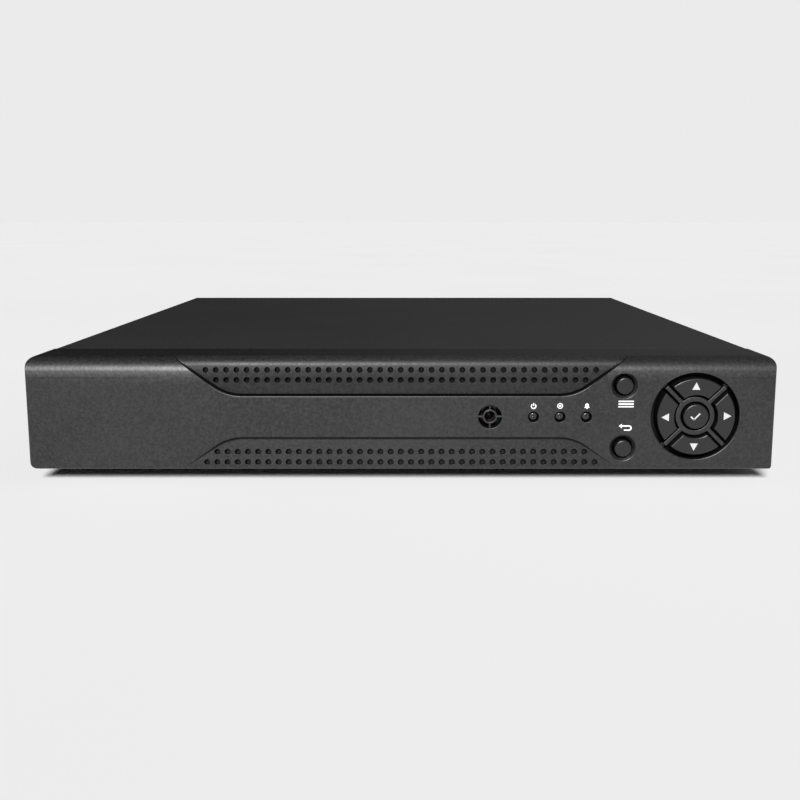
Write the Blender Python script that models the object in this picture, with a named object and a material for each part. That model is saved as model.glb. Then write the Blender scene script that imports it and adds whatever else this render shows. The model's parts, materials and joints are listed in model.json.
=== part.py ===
"""A compact digital video recorder, modelled piece by piece in metres.

X runs to the right, Y to the back and Z up. The origin is under the middle of the
recorder, on the surface that it stands on.
"""
import math

import bmesh
import bpy
from mathutils import Matrix, Vector

MM = 0.001
GAP = 0.3 * MM

# Outside
PANEL_WIDTH = 255.0 * MM
COVER_WIDTH = 252.0 * MM
HEIGHT = 43.5 * MM
FRONT_Y = -121.5 * MM
BACK_Y = 113.5 * MM
FOOT_HEIGHT = 4.5 * MM
BASE_Z = FOOT_HEIGHT + GAP
KEY_PROUD = 1.0 * MM
SHEET = 1.0 * MM
CUT_PAST = 1.0 * MM

# Front panel
PANEL_DEPTH = 22.0 * MM
PANEL_BACK_Y = FRONT_Y + PANEL_DEPTH
PANEL_WALL = 2.0 * MM
PANEL_INNER_Y = FRONT_Y + 4.0 * MM
TOP_FILLET = 6.2 * MM
BOTTOM_FILLET = 0.8 * MM
TOP_CORNER = 3.5 * MM
BOTTOM_CORNER = 3.4 * MM
RECESS_DEPTH = 2.0 * MM
RECESS_FOOT = 0.3 * MM
MIDDLE_Z = 23.15 * MM

# Vent fields: a flat-sided bowl outline, mirrored above and below the middle
VENT_EDGE = 7.2 * MM
VENT_HALF = 54.0 * MM
VENT_BEND = 16.0 * MM
VENT_SLOPE = 35.0
DIMPLE_PITCH = 3.5 * MM
DIMPLE_RADIUS = 1.0 * MM
DIMPLE_DEPTH = 1.5 * MM
DIMPLE_INNER_ROW = 12.4 * MM
DIMPLE_OUTER_ROW = 15.9 * MM
DIMPLE_INNER_COUNT = 37
DIMPLE_OUTER_COUNT = 39

# Arrow keys round the OK key
PAD_X = 100.3 * MM
PAD_Z = 23.4 * MM
PAD_HOLE = 15.0 * MM
ARROW_OUTER = 13.2 * MM
ARROW_INNER = 7.4 * MM
RING_OUTER = 6.7 * MM
RING_INNER = 4.95 * MM
OK_RADIUS = 4.3 * MM
SPOKE_WIDTH = 1.5 * MM
SPOKE_GAP = 0.7 * MM
SPOKE_END = 14.2 * MM
SPOKE_DROP = 0.2 * MM
SPOKE_STEP = 1.8 * MM
SWITCH_PITCH = 10.1 * MM

# Single keys, lamps and remote control window
MENU_X = 75.9 * MM
MENU_Z = 34.0 * MM
ESC_Z = 12.3 * MM
SMALL_KEY = 2.9 * MM
SMALL_HOLE = 3.6 * MM
SMALL_SINK = 4.6 * MM
LAMP_X = (45.2 * MM, 54.2 * MM, 63.2 * MM)
LAMP_HOLE = 1.85 * MM
LAMP_RADIUS = 1.45 * MM
LAMP_SEAT = 1.9 * MM
REMOTE_X = 30.4 * MM
REMOTE_HOLE = 4.0 * MM
REMOTE_RING_OUTER = 2.5 * MM
REMOTE_RING_INNER = 1.85 * MM
REMOTE_BRIDGE = 0.6 * MM
REMOTE_DROP = 0.5 * MM
REMOTE_THICK = 1.5 * MM

# Keys and switches, along Y
KEY_TRAVEL = 0.7 * MM
FLANGE = 1.0 * MM
FLANGE_RIM = 0.8 * MM
SWITCH_SIDE = 6.0 * MM
SWITCH_DEPTH = 3.5 * MM
PLUNGER_RADIUS = 1.7 * MM
PLUNGER_LENGTH = 2.7 * MM
BOARD_THICK = 1.6 * MM
FLANGE_FRONT_Y = PANEL_INNER_Y + GAP
FLANGE_BACK_Y = FLANGE_FRONT_Y + FLANGE
FRONT_BOARD_Y = PANEL_INNER_Y + 6.5 * MM
SWITCH_BACK_Y = FRONT_BOARD_Y - GAP
SWITCH_FRONT_Y = SWITCH_BACK_Y - SWITCH_DEPTH

# Front board and its posts on the panel
BOARD_POST_X = (26.0 * MM, 114.5 * MM)
BOARD_POST_Z = (9.5 * MM, 37.3 * MM)
BOARD_POST_RADIUS = 2.5 * MM
FRONT_BOARD_X = (22.0 * MM, 118.5 * MM)
FRONT_BOARD_Z = (7.3 * MM, 40.0 * MM)

# Snap hooks that hold the panel to the tray
HOOK_X = 121.0 * MM
HOOK_THICK = 1.5 * MM
HOOK_LENGTH = 3.5 * MM
HOOK_LOW_Z = 18.0 * MM
HOOK_HIGH_Z = 30.0 * MM

# Side slots of the cover
SLOT_COUNT = 14
SLOT_PITCH = 6.0 * MM
SLOT_HALF = 1.1 * MM
SLOT_Z = (20.0 * MM, 33.0 * MM)
COVER_BEND = 1.6 * MM

# Floor slots of the tray, under the drive
FLOOR_SLOT_COUNT = 8
FLOOR_SLOT_PITCH = 9.0 * MM
FLOOR_SLOT_HALF = (1.5 * MM, 12.0 * MM)
FLOOR_SLOT_ROWS = (-62.0 * MM, -26.0 * MM)
HARNESS_WINDOW = ((50.0 * MM, 10.0 * MM), (72.0 * MM, 34.0 * MM))

# Tray, boards and drive
WALL_TOP_Z = HEIGHT - SHEET - GAP
FLOOR_Z = BASE_Z + SHEET
TRAY_HALF = COVER_WIDTH / 2 - SHEET - GAP
TRAY_FRONT_Y = PANEL_BACK_Y + 2 * GAP
REAR_WALL_Y = BACK_Y - SHEET - GAP
SIDE_FLANGE_Z = 15.0 * MM
MAIN_BOARD_Z = 12.0 * MM
MAIN_BOARD_LOW = (-118.0 * MM, 15.0 * MM)
MAIN_BOARD_HIGH = (118.0 * MM, 110.4 * MM)
BOARD_TOP_Z = MAIN_BOARD_Z + BOARD_THICK
PART_Z = BOARD_TOP_Z + GAP
BOARD_HOLD_X = (-110.0 * MM, 0.0, 110.0 * MM)
BOARD_HOLD_Y = (22.0 * MM, 88.0 * MM)
POST_RADIUS = 3.0 * MM
DRIVE_LOW = (-115.0 * MM, -94.0 * MM, 8.0 * MM)
DRIVE_SIZE = (147.0 * MM, 101.6 * MM, 26.1 * MM)
DRIVE_HOLD = (50.8 * MM, 46.0 * MM)
DRIVE_POST_RADIUS = 4.0 * MM
DRIVE_LID_DROP = 2.0 * MM
DRIVE_LID_INSET = 3.0 * MM
CELL_CENTRE = (-40.0 * MM, 60.0 * MM)
CELL_RADIUS = 10.0 * MM
CELL_HEIGHT = 3.2 * MM
SINK_LOW = (18.0 * MM, 44.0 * MM)
SINK_SIDE = 38.0 * MM
SINK_HEIGHT = 14.0 * MM
SINK_BASE = 3.0 * MM
SINK_GAPS = 6
SINK_GAP = 3.6 * MM

# Sockets on the rear wall, from the right-hand side
POWER_X = 110.0 * MM
DATA_X = 90.0 * MM
LAN_X = 67.0 * MM
DIGITAL_X = 42.0 * MM
ANALOG_X = 12.0 * MM
AUDIO_X = -19.0 * MM
AUDIO_PITCH = 12.5 * MM
AUDIO_Z = PART_Z + 6.0 * MM
VIDEO_X = (-42.0 * MM, -60.0 * MM, -78.0 * MM, -96.0 * MM)
VIDEO_Z = PART_Z + 7.6 * MM
REAR_FACE_Y = REAR_WALL_Y + 0.6 * MM
FULL_BACK_Y = -(FRONT_Y - KEY_PROUD)
SOCKET_GAP = 0.4 * MM
COLLAR_FRONT_Y = 108.0 * MM

# Half width and height of each flush socket
POWER_SIZE = (4.5 * MM, 11.0 * MM)
DATA_SIZE = (7.3 * MM, 15.6 * MM)
LAN_SIZE = (8.0 * MM, 13.5 * MM)
DIGITAL_SIZE = (7.5 * MM, 6.0 * MM)
ANALOG_SIZE = (15.4 * MM, 12.5 * MM)

# Round sockets
VIDEO_BLOCK = (7.0 * MM, 98.0 * MM, 15.0 * MM)
VIDEO_COLLAR = 6.2 * MM
VIDEO_BARREL = 4.8 * MM
VIDEO_BORE = 4.1 * MM
VIDEO_CORE = 2.4 * MM
VIDEO_CONTACT = 0.9 * MM
VIDEO_LUG = (4.4 * MM, 5.7 * MM, 0.9 * MM)
VIDEO_LUG_BACK = 4.0 * MM
AUDIO_BLOCK = (5.5 * MM, 98.0 * MM, 12.5 * MM)
AUDIO_COLLAR = 4.6 * MM
AUDIO_BARREL = 4.15 * MM
AUDIO_BORE = 1.7 * MM
AUDIO_LENGTH = 8.6 * MM
POWER_BORE = 3.2 * MM
POWER_PIN = 1.05 * MM
POWER_DEPTH = 9.5 * MM

# Analog display socket: half height, half widths below and above, and its pin holes
SHELL_HIGH = 3.95 * MM
SHELL_NARROW = 7.4 * MM
SHELL_WIDE = 8.3 * MM
PIN_PITCH = (2.3 * MM, 2.0 * MM)
PIN_STAGGER = 0.6 * MM
PIN_RADIUS = 0.55 * MM

# Screws
SCREW_RADIUS = 1.4 * MM
SCREW_HOLE = 1.7 * MM
SCREW_HEAD = 2.8 * MM
HEAD_HEIGHT = 1.1 * MM
SHANK_LENGTH = 6.0 * MM
SIDE_SCREW_Y = (-70.0 * MM, 85.0 * MM)
SIDE_SCREW_Z = 10.2 * MM
REAR_SCREW_X = 116.0 * MM
REAR_SCREW_Z = 38.5 * MM
REAR_LIP_Z = 34.5 * MM

FOOT_RADIUS = 8.0 * MM
FOOT_X = 105.0 * MM
FOOT_Y = (-84.0 * MM, 92.0 * MM)

AXES = {"X": (1, 2, 0), "Y": (0, 2, 1), "Z": (0, 1, 2)}

# Base colour, roughness and metallic value of each finish
FINISHES = {
    "panel_plastic": ((0.052, 0.052, 0.054), 0.48, 0.0),
    "key_plastic": ((0.036, 0.036, 0.038), 0.42, 0.0),
    "painted_steel": ((0.045, 0.045, 0.047), 0.50, 0.2),
    "rubber": ((0.012, 0.012, 0.012), 0.80, 0.0),
    "lamp_plastic": ((0.20, 0.20, 0.19), 0.18, 0.0),
    "remote_lens": ((0.01, 0.006, 0.008), 0.10, 0.0),
    "board_green": ((0.010, 0.085, 0.034), 0.40, 0.0),
    "black_plastic": ((0.014, 0.014, 0.015), 0.45, 0.0),
    "nickel": ((0.62, 0.61, 0.58), 0.25, 1.0),
    "screw_steel": ((0.30, 0.30, 0.31), 0.32, 1.0),
    "aluminium": ((0.55, 0.56, 0.57), 0.38, 1.0),
    "cable_red": ((0.30, 0.02, 0.018), 0.50, 0.0),
    "cable_grey": ((0.16, 0.16, 0.165), 0.55, 0.0),
}


def clear_scene():
    """Remove every object that the file opened with."""
    for item in list(bpy.data.objects):
        bpy.data.objects.remove(item)


def make_materials():
    """One Principled material for each finish."""
    made = {}
    for name, (colour, roughness, metallic) in FINISHES.items():
        material = bpy.data.materials.new(name)
        material.use_nodes = True
        shader = material.node_tree.nodes["Principled BSDF"]
        shader.inputs["Base Color"].default_value = (*colour, 1.0)
        shader.inputs["Roughness"].default_value = roughness
        shader.inputs["Metallic"].default_value = metallic
        made[name] = material
    return made


# Outlines, as lists of points across an axis

def arc(centre_u, centre_v, radius, start, end, steps):
    """Points along an arc, angles in degrees, both ends included."""
    points = []
    for step in range(steps + 1):
        angle = math.radians(start + (end - start) * step / steps)
        points.append((centre_u + radius * math.cos(angle), centre_v + radius * math.sin(angle)))
    return points


def circle(centre_u, centre_v, radius, sides):
    """A closed round outline."""
    return arc(centre_u, centre_v, radius, 0.0, 360.0 - 360.0 / sides, sides - 1)


def rectangle(low_u, low_v, high_u, high_v):
    """A closed rectangular outline."""
    return [(low_u, low_v), (high_u, low_v), (high_u, high_v), (low_u, high_v)]


def rounded_rectangle(low, high, low_radius, high_radius, steps):
    """A rectangle with one radius at its low corners and another at its high ones."""
    points = arc(low[0] + low_radius, low[1] + low_radius, low_radius, 180, 270, steps)
    points += arc(high[0] - low_radius, low[1] + low_radius, low_radius, 270, 360, steps)
    points += arc(high[0] - high_radius, high[1] - high_radius, high_radius, 0, 90, steps)
    points += arc(low[0] + high_radius, high[1] - high_radius, high_radius, 90, 180, steps)
    return points


# Bodies, added to a bmesh

def add_prism(bm, outline, axis, low, high):
    """A closed prism whose outline lies across the axis, from low to high."""
    across, up, along = AXES[axis]
    rings = []
    for level in (low, high):
        ring = []
        for u, v in outline:
            point = [0.0, 0.0, 0.0]
            point[across] = u
            point[up] = v
            point[along] = level
            ring.append(bm.verts.new(point))
        rings.append(ring)
    faces = [bm.faces.new(rings[0]), bm.faces.new(rings[1])]
    for index in range(len(outline)):
        following = (index + 1) % len(outline)
        side = (rings[0][index], rings[0][following], rings[1][following], rings[1][index])
        faces.append(bm.faces.new(side))
    bmesh.ops.recalc_face_normals(bm, faces=faces)


def add_turned(bm, profile, axis, centre, sides):
    """A closed turned body. The profile lists (radius, place along the axis)."""
    across, up, along = AXES[axis]
    rings = []
    for radius, level in profile:
        ring = []
        for step in range(1 if radius == 0.0 else sides):
            angle = 2.0 * math.pi * step / sides
            point = [0.0, 0.0, 0.0]
            point[across] = centre[0] + radius * math.cos(angle)
            point[up] = centre[1] + radius * math.sin(angle)
            point[along] = level
            ring.append(bm.verts.new(point))
        rings.append(ring)
    faces = []
    for ring, following in zip(rings, rings[1:]):
        for step in range(sides):
            corners = [ring[step % len(ring)], ring[(step + 1) % len(ring)]]
            corners += [following[(step + 1) % len(following)], following[step % len(following)]]
            unique = list(dict.fromkeys(corners))
            if len(unique) > 2:
                faces.append(bm.faces.new(unique))
    bmesh.ops.recalc_face_normals(bm, faces=faces)


def smooth_route(corners, steps):
    """Points on a smooth curve through the corners."""
    points = [Vector(corner) for corner in corners]
    padded = [2 * points[0] - points[1]] + points + [2 * points[-1] - points[-2]]
    route = []
    for index in range(1, len(padded) - 2):
        before, start, end, after = padded[index - 1:index + 3]
        for step in range(steps):
            t = step / steps
            curve = 2 * start + (end - before) * t
            curve += (2 * before - 5 * start + 4 * end - after) * t * t
            curve += (3 * start - before - 3 * end + after) * t * t * t
            route.append(curve / 2)
    route.append(points[-1])
    return route


def add_tube(bm, route, radius, sides):
    """A closed round tube along a route that never points straight up."""
    rings = []
    for index, point in enumerate(route):
        ahead = route[min(index + 1, len(route) - 1)]
        behind = route[max(index - 1, 0)]
        direction = (ahead - behind).normalized()
        across = direction.cross(Vector((0.0, 0.0, 1.0))).normalized()
        up = across.cross(direction)
        ring = []
        for step in range(sides):
            angle = 2.0 * math.pi * step / sides
            ring.append(bm.verts.new(point + radius * (across * math.cos(angle) + up * math.sin(angle))))
        rings.append(ring)
    faces = [bm.faces.new(rings[0]), bm.faces.new(rings[-1])]
    for ring, following in zip(rings, rings[1:]):
        for step in range(sides):
            after = (step + 1) % sides
            faces.append(bm.faces.new((ring[step], ring[after], following[after], following[step])))
    bmesh.ops.recalc_face_normals(bm, faces=faces)


# Objects

def to_object(bm, name, origin=(0.0, 0.0, 0.0)):
    """Turn a bmesh in world coordinates into an object with its origin at a point."""
    bmesh.ops.translate(bm, verts=bm.verts, vec=-Vector(origin))
    mesh = bpy.data.meshes.new(name)
    bm.to_mesh(mesh)
    bm.free()
    item = bpy.data.objects.new(name, mesh)
    item.location = origin
    bpy.context.scene.collection.objects.link(item)
    return item


def prism(name, outline, axis, low, high, origin=(0.0, 0.0, 0.0)):
    """An object that is one prism."""
    bm = bmesh.new()
    add_prism(bm, outline, axis, low, high)
    return to_object(bm, name, origin)


def block(name, low, high, origin=(0.0, 0.0, 0.0)):
    """An object that is one rectangular block between two corners."""
    return prism(name, rectangle(low[0], low[1], high[0], high[1]), "Z", low[2], high[2], origin)


def turned(name, profile, axis, centre, sides, origin=(0.0, 0.0, 0.0)):
    """An object that is one turned body."""
    bm = bmesh.new()
    add_turned(bm, profile, axis, centre, sides)
    return to_object(bm, name, origin)


def combine(target, tool, operation):
    """Cut, join or intersect the target with a tool, which is used up."""
    modifier = target.modifiers.new(operation.lower(), "BOOLEAN")
    modifier.operation = operation
    modifier.solver = "EXACT"
    modifier.object = tool
    bpy.context.view_layer.update()
    depsgraph = bpy.context.evaluated_depsgraph_get()
    mesh = bpy.data.meshes.new_from_object(target.evaluated_get(depsgraph))
    target.modifiers.clear()
    target.data = mesh
    mesh.name = target.name
    bpy.data.objects.remove(tool)


def cut(target, *tools):
    """Take each tool away from the target."""
    for tool in tools:
        combine(target, tool, "DIFFERENCE")


def join(target, *tools):
    """Add each tool to the target."""
    for tool in tools:
        combine(target, tool, "UNION")


def paint(item, material, smooth_angle=35.0):
    """Give an object its material and smooth its round faces."""
    item.data.materials.clear()
    item.data.materials.append(material)
    item.data.shade_smooth()
    item.data.set_sharp_from_angle(angle=math.radians(smooth_angle))
    return item


# Front panel

def vent_outline(side):
    """Outline of a vent field in X and Z; side is 1 above the middle and -1 below it."""
    edge = VENT_EDGE
    half = [(VENT_HALF, edge)]
    half += arc(VENT_HALF, edge + VENT_BEND, VENT_BEND, -90.0, -90.0 + VENT_SLOPE, 6)[1:]
    last_x, last_z = half[-1]
    far_z = HEIGHT / 2 + 2.0 * MM
    half.append((last_x + (far_z - last_z) / math.tan(math.radians(VENT_SLOPE)), far_z))
    right = [(x, MIDDLE_Z + side * z) for x, z in half]
    left = [(-x, z) for x, z in reversed(right)]
    return right + left


def panel_section(front_y, fillet):
    """Outline of the panel in Y and Z for one depth of its front face."""
    points = [(PANEL_BACK_Y, BASE_Z), (PANEL_BACK_Y, HEIGHT)]
    points += arc(front_y + fillet, HEIGHT - fillet, fillet, 90, 180, 7)
    points += arc(front_y + BOTTOM_FILLET, BASE_Z + BOTTOM_FILLET, BOTTOM_FILLET, 180, 270, 2)
    return points


def lower_floor():
    """Outline in Y and Z of the lower vent field's face, which leans forward to the panel's foot."""
    top_z = MIDDLE_Z - VENT_EDGE
    foot_y = FRONT_Y + RECESS_FOOT
    points = [(PANEL_BACK_Y, BASE_Z - CUT_PAST), (PANEL_BACK_Y, MIDDLE_Z)]
    points += [(FRONT_Y + RECESS_DEPTH, MIDDLE_Z), (FRONT_Y + RECESS_DEPTH, top_z)]
    points += [(foot_y, BASE_Z + BOTTOM_FILLET), (foot_y, BASE_Z - CUT_PAST)]
    return points


def vent_tool(side):
    """The material in front of a vent field's sunken face."""
    far = 2 * RECESS_DEPTH
    tool = prism("tool", vent_outline(side), "Y", FRONT_Y - far, FRONT_Y + TOP_FILLET + far)
    core = lower_floor()
    if side > 0:
        core = panel_section(FRONT_Y + RECESS_DEPTH, TOP_FILLET - RECESS_DEPTH)
    half = PANEL_WIDTH / 2 + far
    combine(tool, prism("core", core, "X", -half, half), "DIFFERENCE")
    return tool


def vent_depth(side, offset):
    """Depth of a vent field's face at a distance from the panel's middle."""
    if side > 0:
        return RECESS_DEPTH
    reach = MIDDLE_Z - BASE_Z - BOTTOM_FILLET - VENT_EDGE
    part = (offset - VENT_EDGE) / reach
    return RECESS_DEPTH + (RECESS_FOOT - RECESS_DEPTH) * part


def dimple_tool():
    """Every blind dimple of both vent fields."""
    bm = bmesh.new()
    rows = ((DIMPLE_INNER_ROW, DIMPLE_INNER_COUNT), (DIMPLE_OUTER_ROW, DIMPLE_OUTER_COUNT))
    for side in (1, -1):
        for offset, count in rows:
            face_y = FRONT_Y + vent_depth(side, offset)
            for index in range(count):
                x = (index - (count - 1) / 2) * DIMPLE_PITCH
                outline = circle(x, MIDDLE_Z + side * offset, DIMPLE_RADIUS, 6)
                add_prism(bm, outline, "Y", face_y - DIMPLE_DEPTH, face_y + DIMPLE_DEPTH)
    return to_object(bm, "tool")


def hole_tool(x, z, radius, sides=16):
    """A round hole right through the front wall."""
    outline = circle(x, z, radius, sides)
    return prism("tool", outline, "Y", FRONT_Y - CUT_PAST, PANEL_INNER_Y + CUT_PAST)


def countersink_tool(x, z):
    """The funnel round a single key."""
    depth = SMALL_SINK - SMALL_HOLE
    rise = 0.2 * MM
    profile = [(0.0, FRONT_Y - rise), (SMALL_SINK + rise, FRONT_Y - rise)]
    profile += [(SMALL_HOLE, FRONT_Y + depth), (0.0, FRONT_Y + depth)]
    return turned("tool", profile, "Y", (x, z), 20)


def ring_tool(x, z, outer, inner, low, high, sides):
    """A flat ring across Y."""
    ring = prism("ring", circle(x, z, outer, sides), "Y", low, high)
    cut(ring, prism("tool", circle(x, z, inner, sides), "Y", low - CUT_PAST, high + CUT_PAST))
    return ring


def bar_outline(x, z, inner, outer, width, angle):
    """A bar that runs outwards from a centre at an angle."""
    turn = math.radians(angle)
    along = Vector((math.cos(turn), math.sin(turn)))
    across = Vector((-along.y, along.x)) * width / 2
    start = Vector((x, z)) + along * inner
    end = Vector((x, z)) + along * outer
    return [tuple(start - across), tuple(end - across), tuple(end + across), tuple(start + across)]


def pad_spoke(angle):
    """A stepped spoke: its tip stops short of the wall, and its foot reaches it deeper down."""
    inner = (RING_OUTER + RING_INNER) / 2
    outer = PAD_HOLE + MM
    top_y = FRONT_Y + SPOKE_DROP + 0.05 * MM
    step_y = FRONT_Y + SPOKE_STEP
    foot_y = PANEL_INNER_Y - 0.1 * MM
    profile = [(inner, top_y), (SPOKE_END, top_y), (SPOKE_END, step_y), (outer, step_y)]
    profile += [(outer, foot_y), (inner, foot_y)]
    bm = bmesh.new()
    add_prism(bm, profile, "Z", -SPOKE_WIDTH / 2, SPOKE_WIDTH / 2)
    turn = Matrix.Rotation(math.radians(angle), 4, "Y")
    bmesh.ops.transform(bm, verts=bm.verts, matrix=Matrix.Translation((PAD_X, 0.0, PAD_Z)) @ turn)
    return to_object(bm, "spoke")


def pad_frame(panel):
    """The ring round the OK key and its four spokes."""
    top_y = FRONT_Y + SPOKE_DROP
    join(panel, ring_tool(PAD_X, PAD_Z, RING_OUTER, RING_INNER, top_y, PANEL_INNER_Y, 24))
    for angle in (45, 135, 225, 315):
        join(panel, pad_spoke(angle))


def remote_window(panel):
    """The ring and four bridges in front of the remote control receiver."""
    low = FRONT_Y + REMOTE_DROP
    high = low + REMOTE_THICK
    ring = ring_tool(REMOTE_X, MIDDLE_Z, REMOTE_RING_OUTER, REMOTE_RING_INNER, low, high, 16)
    inner = (REMOTE_RING_OUTER + REMOTE_RING_INNER) / 2
    for angle in (0, 90, 180, 270):
        bar = bar_outline(REMOTE_X, MIDDLE_Z, inner, REMOTE_HOLE + 0.5 * MM, REMOTE_BRIDGE, angle)
        join(ring, prism("bar", bar, "Y", low + 0.1 * MM, high - 0.1 * MM))
    join(panel, ring)


def board_posts():
    """Centres of the posts that carry the front board, in X and Z."""
    return [(x, z) for x in BOARD_POST_X for z in BOARD_POST_Z]


def snap_arm(side):
    """An arm behind the face whose hook catches the tray's front wall."""
    start_y = PANEL_INNER_Y - MM
    hook_y = TRAY_FRONT_Y + SHEET + GAP
    end_y = hook_y + HOOK_LENGTH
    profile = [(HOOK_X, start_y), (HOOK_X + HOOK_THICK, start_y), (HOOK_X + HOOK_THICK, hook_y)]
    profile += [(HOOK_X + 2 * HOOK_THICK, hook_y), (HOOK_X + HOOK_THICK, end_y), (HOOK_X, end_y)]
    outline = [(side * x, y) for x, y in profile]
    return prism("arm", outline, "Z", HOOK_LOW_Z, HOOK_HIGH_Z)


def make_front_panel(material):
    """The moulded front panel with its sunken vents, holes, posts and snap hooks."""
    half = PANEL_WIDTH / 2
    panel = prism("front_panel", panel_section(FRONT_Y, TOP_FILLET), "X", -half, half)
    face = rounded_rectangle((-half, BASE_Z), (half, HEIGHT), BOTTOM_CORNER, TOP_CORNER, 4)
    combine(panel, prism("face", face, "Y", FRONT_Y - CUT_PAST, PANEL_BACK_Y + CUT_PAST), "INTERSECT")
    cut(panel, vent_tool(1), vent_tool(-1), dimple_tool())
    low = (-half + PANEL_WALL, PANEL_INNER_Y, BASE_Z + PANEL_WALL)
    high = (half - PANEL_WALL, PANEL_BACK_Y + CUT_PAST, HEIGHT - PANEL_WALL)
    cut(panel, block("inside", low, high))
    cut(panel, hole_tool(PAD_X, PAD_Z, PAD_HOLE, 40))
    cut(panel, hole_tool(REMOTE_X, MIDDLE_Z, REMOTE_HOLE, 20))
    for x in LAMP_X:
        cut(panel, hole_tool(x, MIDDLE_Z, LAMP_HOLE, 12))
    for z in (MENU_Z, ESC_Z):
        cut(panel, countersink_tool(MENU_X, z), hole_tool(MENU_X, z, SMALL_HOLE, 20))
    pad_frame(panel)
    remote_window(panel)
    for x, z in board_posts():
        post = circle(x, z, BOARD_POST_RADIUS, 8)
        join(panel, prism("post", post, "Y", PANEL_INNER_Y - MM, FRONT_BOARD_Y - GAP))
    for side in (-1, 1):
        join(panel, snap_arm(side))
    return paint(panel, material)


# Keys and switches

def key_places():
    """Name and centre of each key's switch."""
    return {
        "up": (PAD_X, PAD_Z + SWITCH_PITCH),
        "down": (PAD_X, PAD_Z - SWITCH_PITCH),
        "left": (PAD_X - SWITCH_PITCH, PAD_Z),
        "right": (PAD_X + SWITCH_PITCH, PAD_Z),
        "ok": (PAD_X, PAD_Z),
        "menu": (MENU_X, MENU_Z),
        "esc": (MENU_X, ESC_Z),
    }


def sector_outline(direction, inner, outer, offset):
    """A ring sector between two diagonals, pulled back from them by an offset."""
    spread_outer = 45.0 - math.degrees(math.asin(offset / outer))
    spread_inner = 45.0 - math.degrees(math.asin(offset / inner))
    points = arc(PAD_X, PAD_Z, outer, direction - spread_outer, direction + spread_outer, 10)
    points += arc(PAD_X, PAD_Z, inner, direction + spread_inner, direction - spread_inner, 5)
    return points


def make_arrow_key(name, direction, material):
    """One arrow key with its flange behind the panel."""
    x, z = key_places()[name]
    origin = (x, FLANGE_FRONT_Y, z)
    offset = SPOKE_WIDTH / 2 + SPOKE_GAP
    shape = sector_outline(direction, ARROW_INNER, ARROW_OUTER, offset)
    key = prism("key_" + name, shape, "Y", FRONT_Y - KEY_PROUD, FLANGE_BACK_Y, origin)
    offset -= FLANGE_RIM
    shape = sector_outline(direction, ARROW_INNER - FLANGE_RIM, PAD_HOLE + FLANGE_RIM, offset)
    join(key, prism("flange", shape, "Y", FLANGE_FRONT_Y, FLANGE_BACK_Y - 0.05 * MM))
    return paint(key, material)


def make_round_key(name, radius, hole, sides, material):
    """One round key with a domed edge and a flange."""
    x, z = key_places()[name]
    face_y = FRONT_Y - KEY_PROUD
    edge = 0.4 * MM
    rim = hole + FLANGE_RIM
    profile = [(0.0, face_y), (radius - edge, face_y), (radius, face_y + edge)]
    profile += [(radius, FLANGE_FRONT_Y), (rim, FLANGE_FRONT_Y)]
    profile += [(rim, FLANGE_BACK_Y), (0.0, FLANGE_BACK_Y)]
    origin = (x, FLANGE_FRONT_Y, z)
    return paint(turned("key_" + name, profile, "Y", (x, z), sides, origin), material)


def make_plunger(name, material):
    """The stem of a switch, which a key pushes."""
    x, z = key_places()[name]
    front = FLANGE_BACK_Y + GAP
    outline = circle(x, z, PLUNGER_RADIUS, 12)
    origin = (x, front, z)
    stem = prism("plunger_" + name, outline, "Y", front, front + PLUNGER_LENGTH, origin)
    return paint(stem, material)


def make_switch(name, material):
    """The body of a push switch, with the bore that its stem slides in."""
    x, z = key_places()[name]
    half = SWITCH_SIDE / 2
    outline = rectangle(x - half, z - half, x + half, z + half)
    body = prism("switch_" + name, outline, "Y", SWITCH_FRONT_Y, SWITCH_BACK_Y)
    bore_end = FLANGE_BACK_Y + GAP + PLUNGER_LENGTH + KEY_TRAVEL + GAP
    bore = circle(x, z, PLUNGER_RADIUS + GAP, 12)
    cut(body, prism("bore", bore, "Y", SWITCH_FRONT_Y - CUT_PAST, bore_end))
    return paint(body, material)


def make_keys(materials):
    """Seven keys with their plungers and switches."""
    for name, direction in (("right", 0), ("up", 90), ("left", 180), ("down", 270)):
        make_arrow_key(name, direction, materials["key_plastic"])
    make_round_key("ok", OK_RADIUS, RING_INNER - 0.6 * MM, 24, materials["key_plastic"])
    make_round_key("menu", SMALL_KEY, SMALL_HOLE, 20, materials["key_plastic"])
    make_round_key("esc", SMALL_KEY, SMALL_HOLE, 20, materials["key_plastic"])
    for name in key_places():
        make_plunger(name, materials["black_plastic"])
        make_switch(name, materials["black_plastic"])


# Lamps, receiver and front board

def make_lamp(name, x, material):
    """One lamp with a domed lens, seated on the front board."""
    tip_y = FRONT_Y + 0.6 * MM
    seat_y = PANEL_INNER_Y + GAP
    profile = [(0.0, tip_y)]
    for angle in (30, 60, 90):
        turn = math.radians(angle)
        profile.append((LAMP_RADIUS * math.sin(turn), tip_y + LAMP_RADIUS * (1 - math.cos(turn))))
    profile += [(LAMP_RADIUS, seat_y), (LAMP_SEAT, seat_y)]
    profile += [(LAMP_SEAT, FRONT_BOARD_Y - GAP), (0.0, FRONT_BOARD_Y - GAP)]
    return paint(turned(name, profile, "Y", (x, MIDDLE_Z), 12), material)


def make_receiver(material):
    """The remote control receiver with its domed lens."""
    front = PANEL_INNER_Y + 2.6 * MM
    half_x = 2.8 * MM
    half_z = 3.5 * MM
    lens = 2.2 * MM
    low = (REMOTE_X - half_x, front, MIDDLE_Z - half_z)
    high = (REMOTE_X + half_x, FRONT_BOARD_Y - GAP, MIDDLE_Z + half_z)
    body = block("remote_receiver", low, high)
    profile = [(0.0, front - lens)]
    for angle in (30, 60, 90):
        turn = math.radians(angle)
        profile.append((lens * math.sin(turn), front - lens * math.cos(turn)))
    profile += [(lens, front + MM), (0.0, front + MM)]
    join(body, turned("lens", profile, "Y", (REMOTE_X, MIDDLE_Z), 12))
    return paint(body, material)


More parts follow.
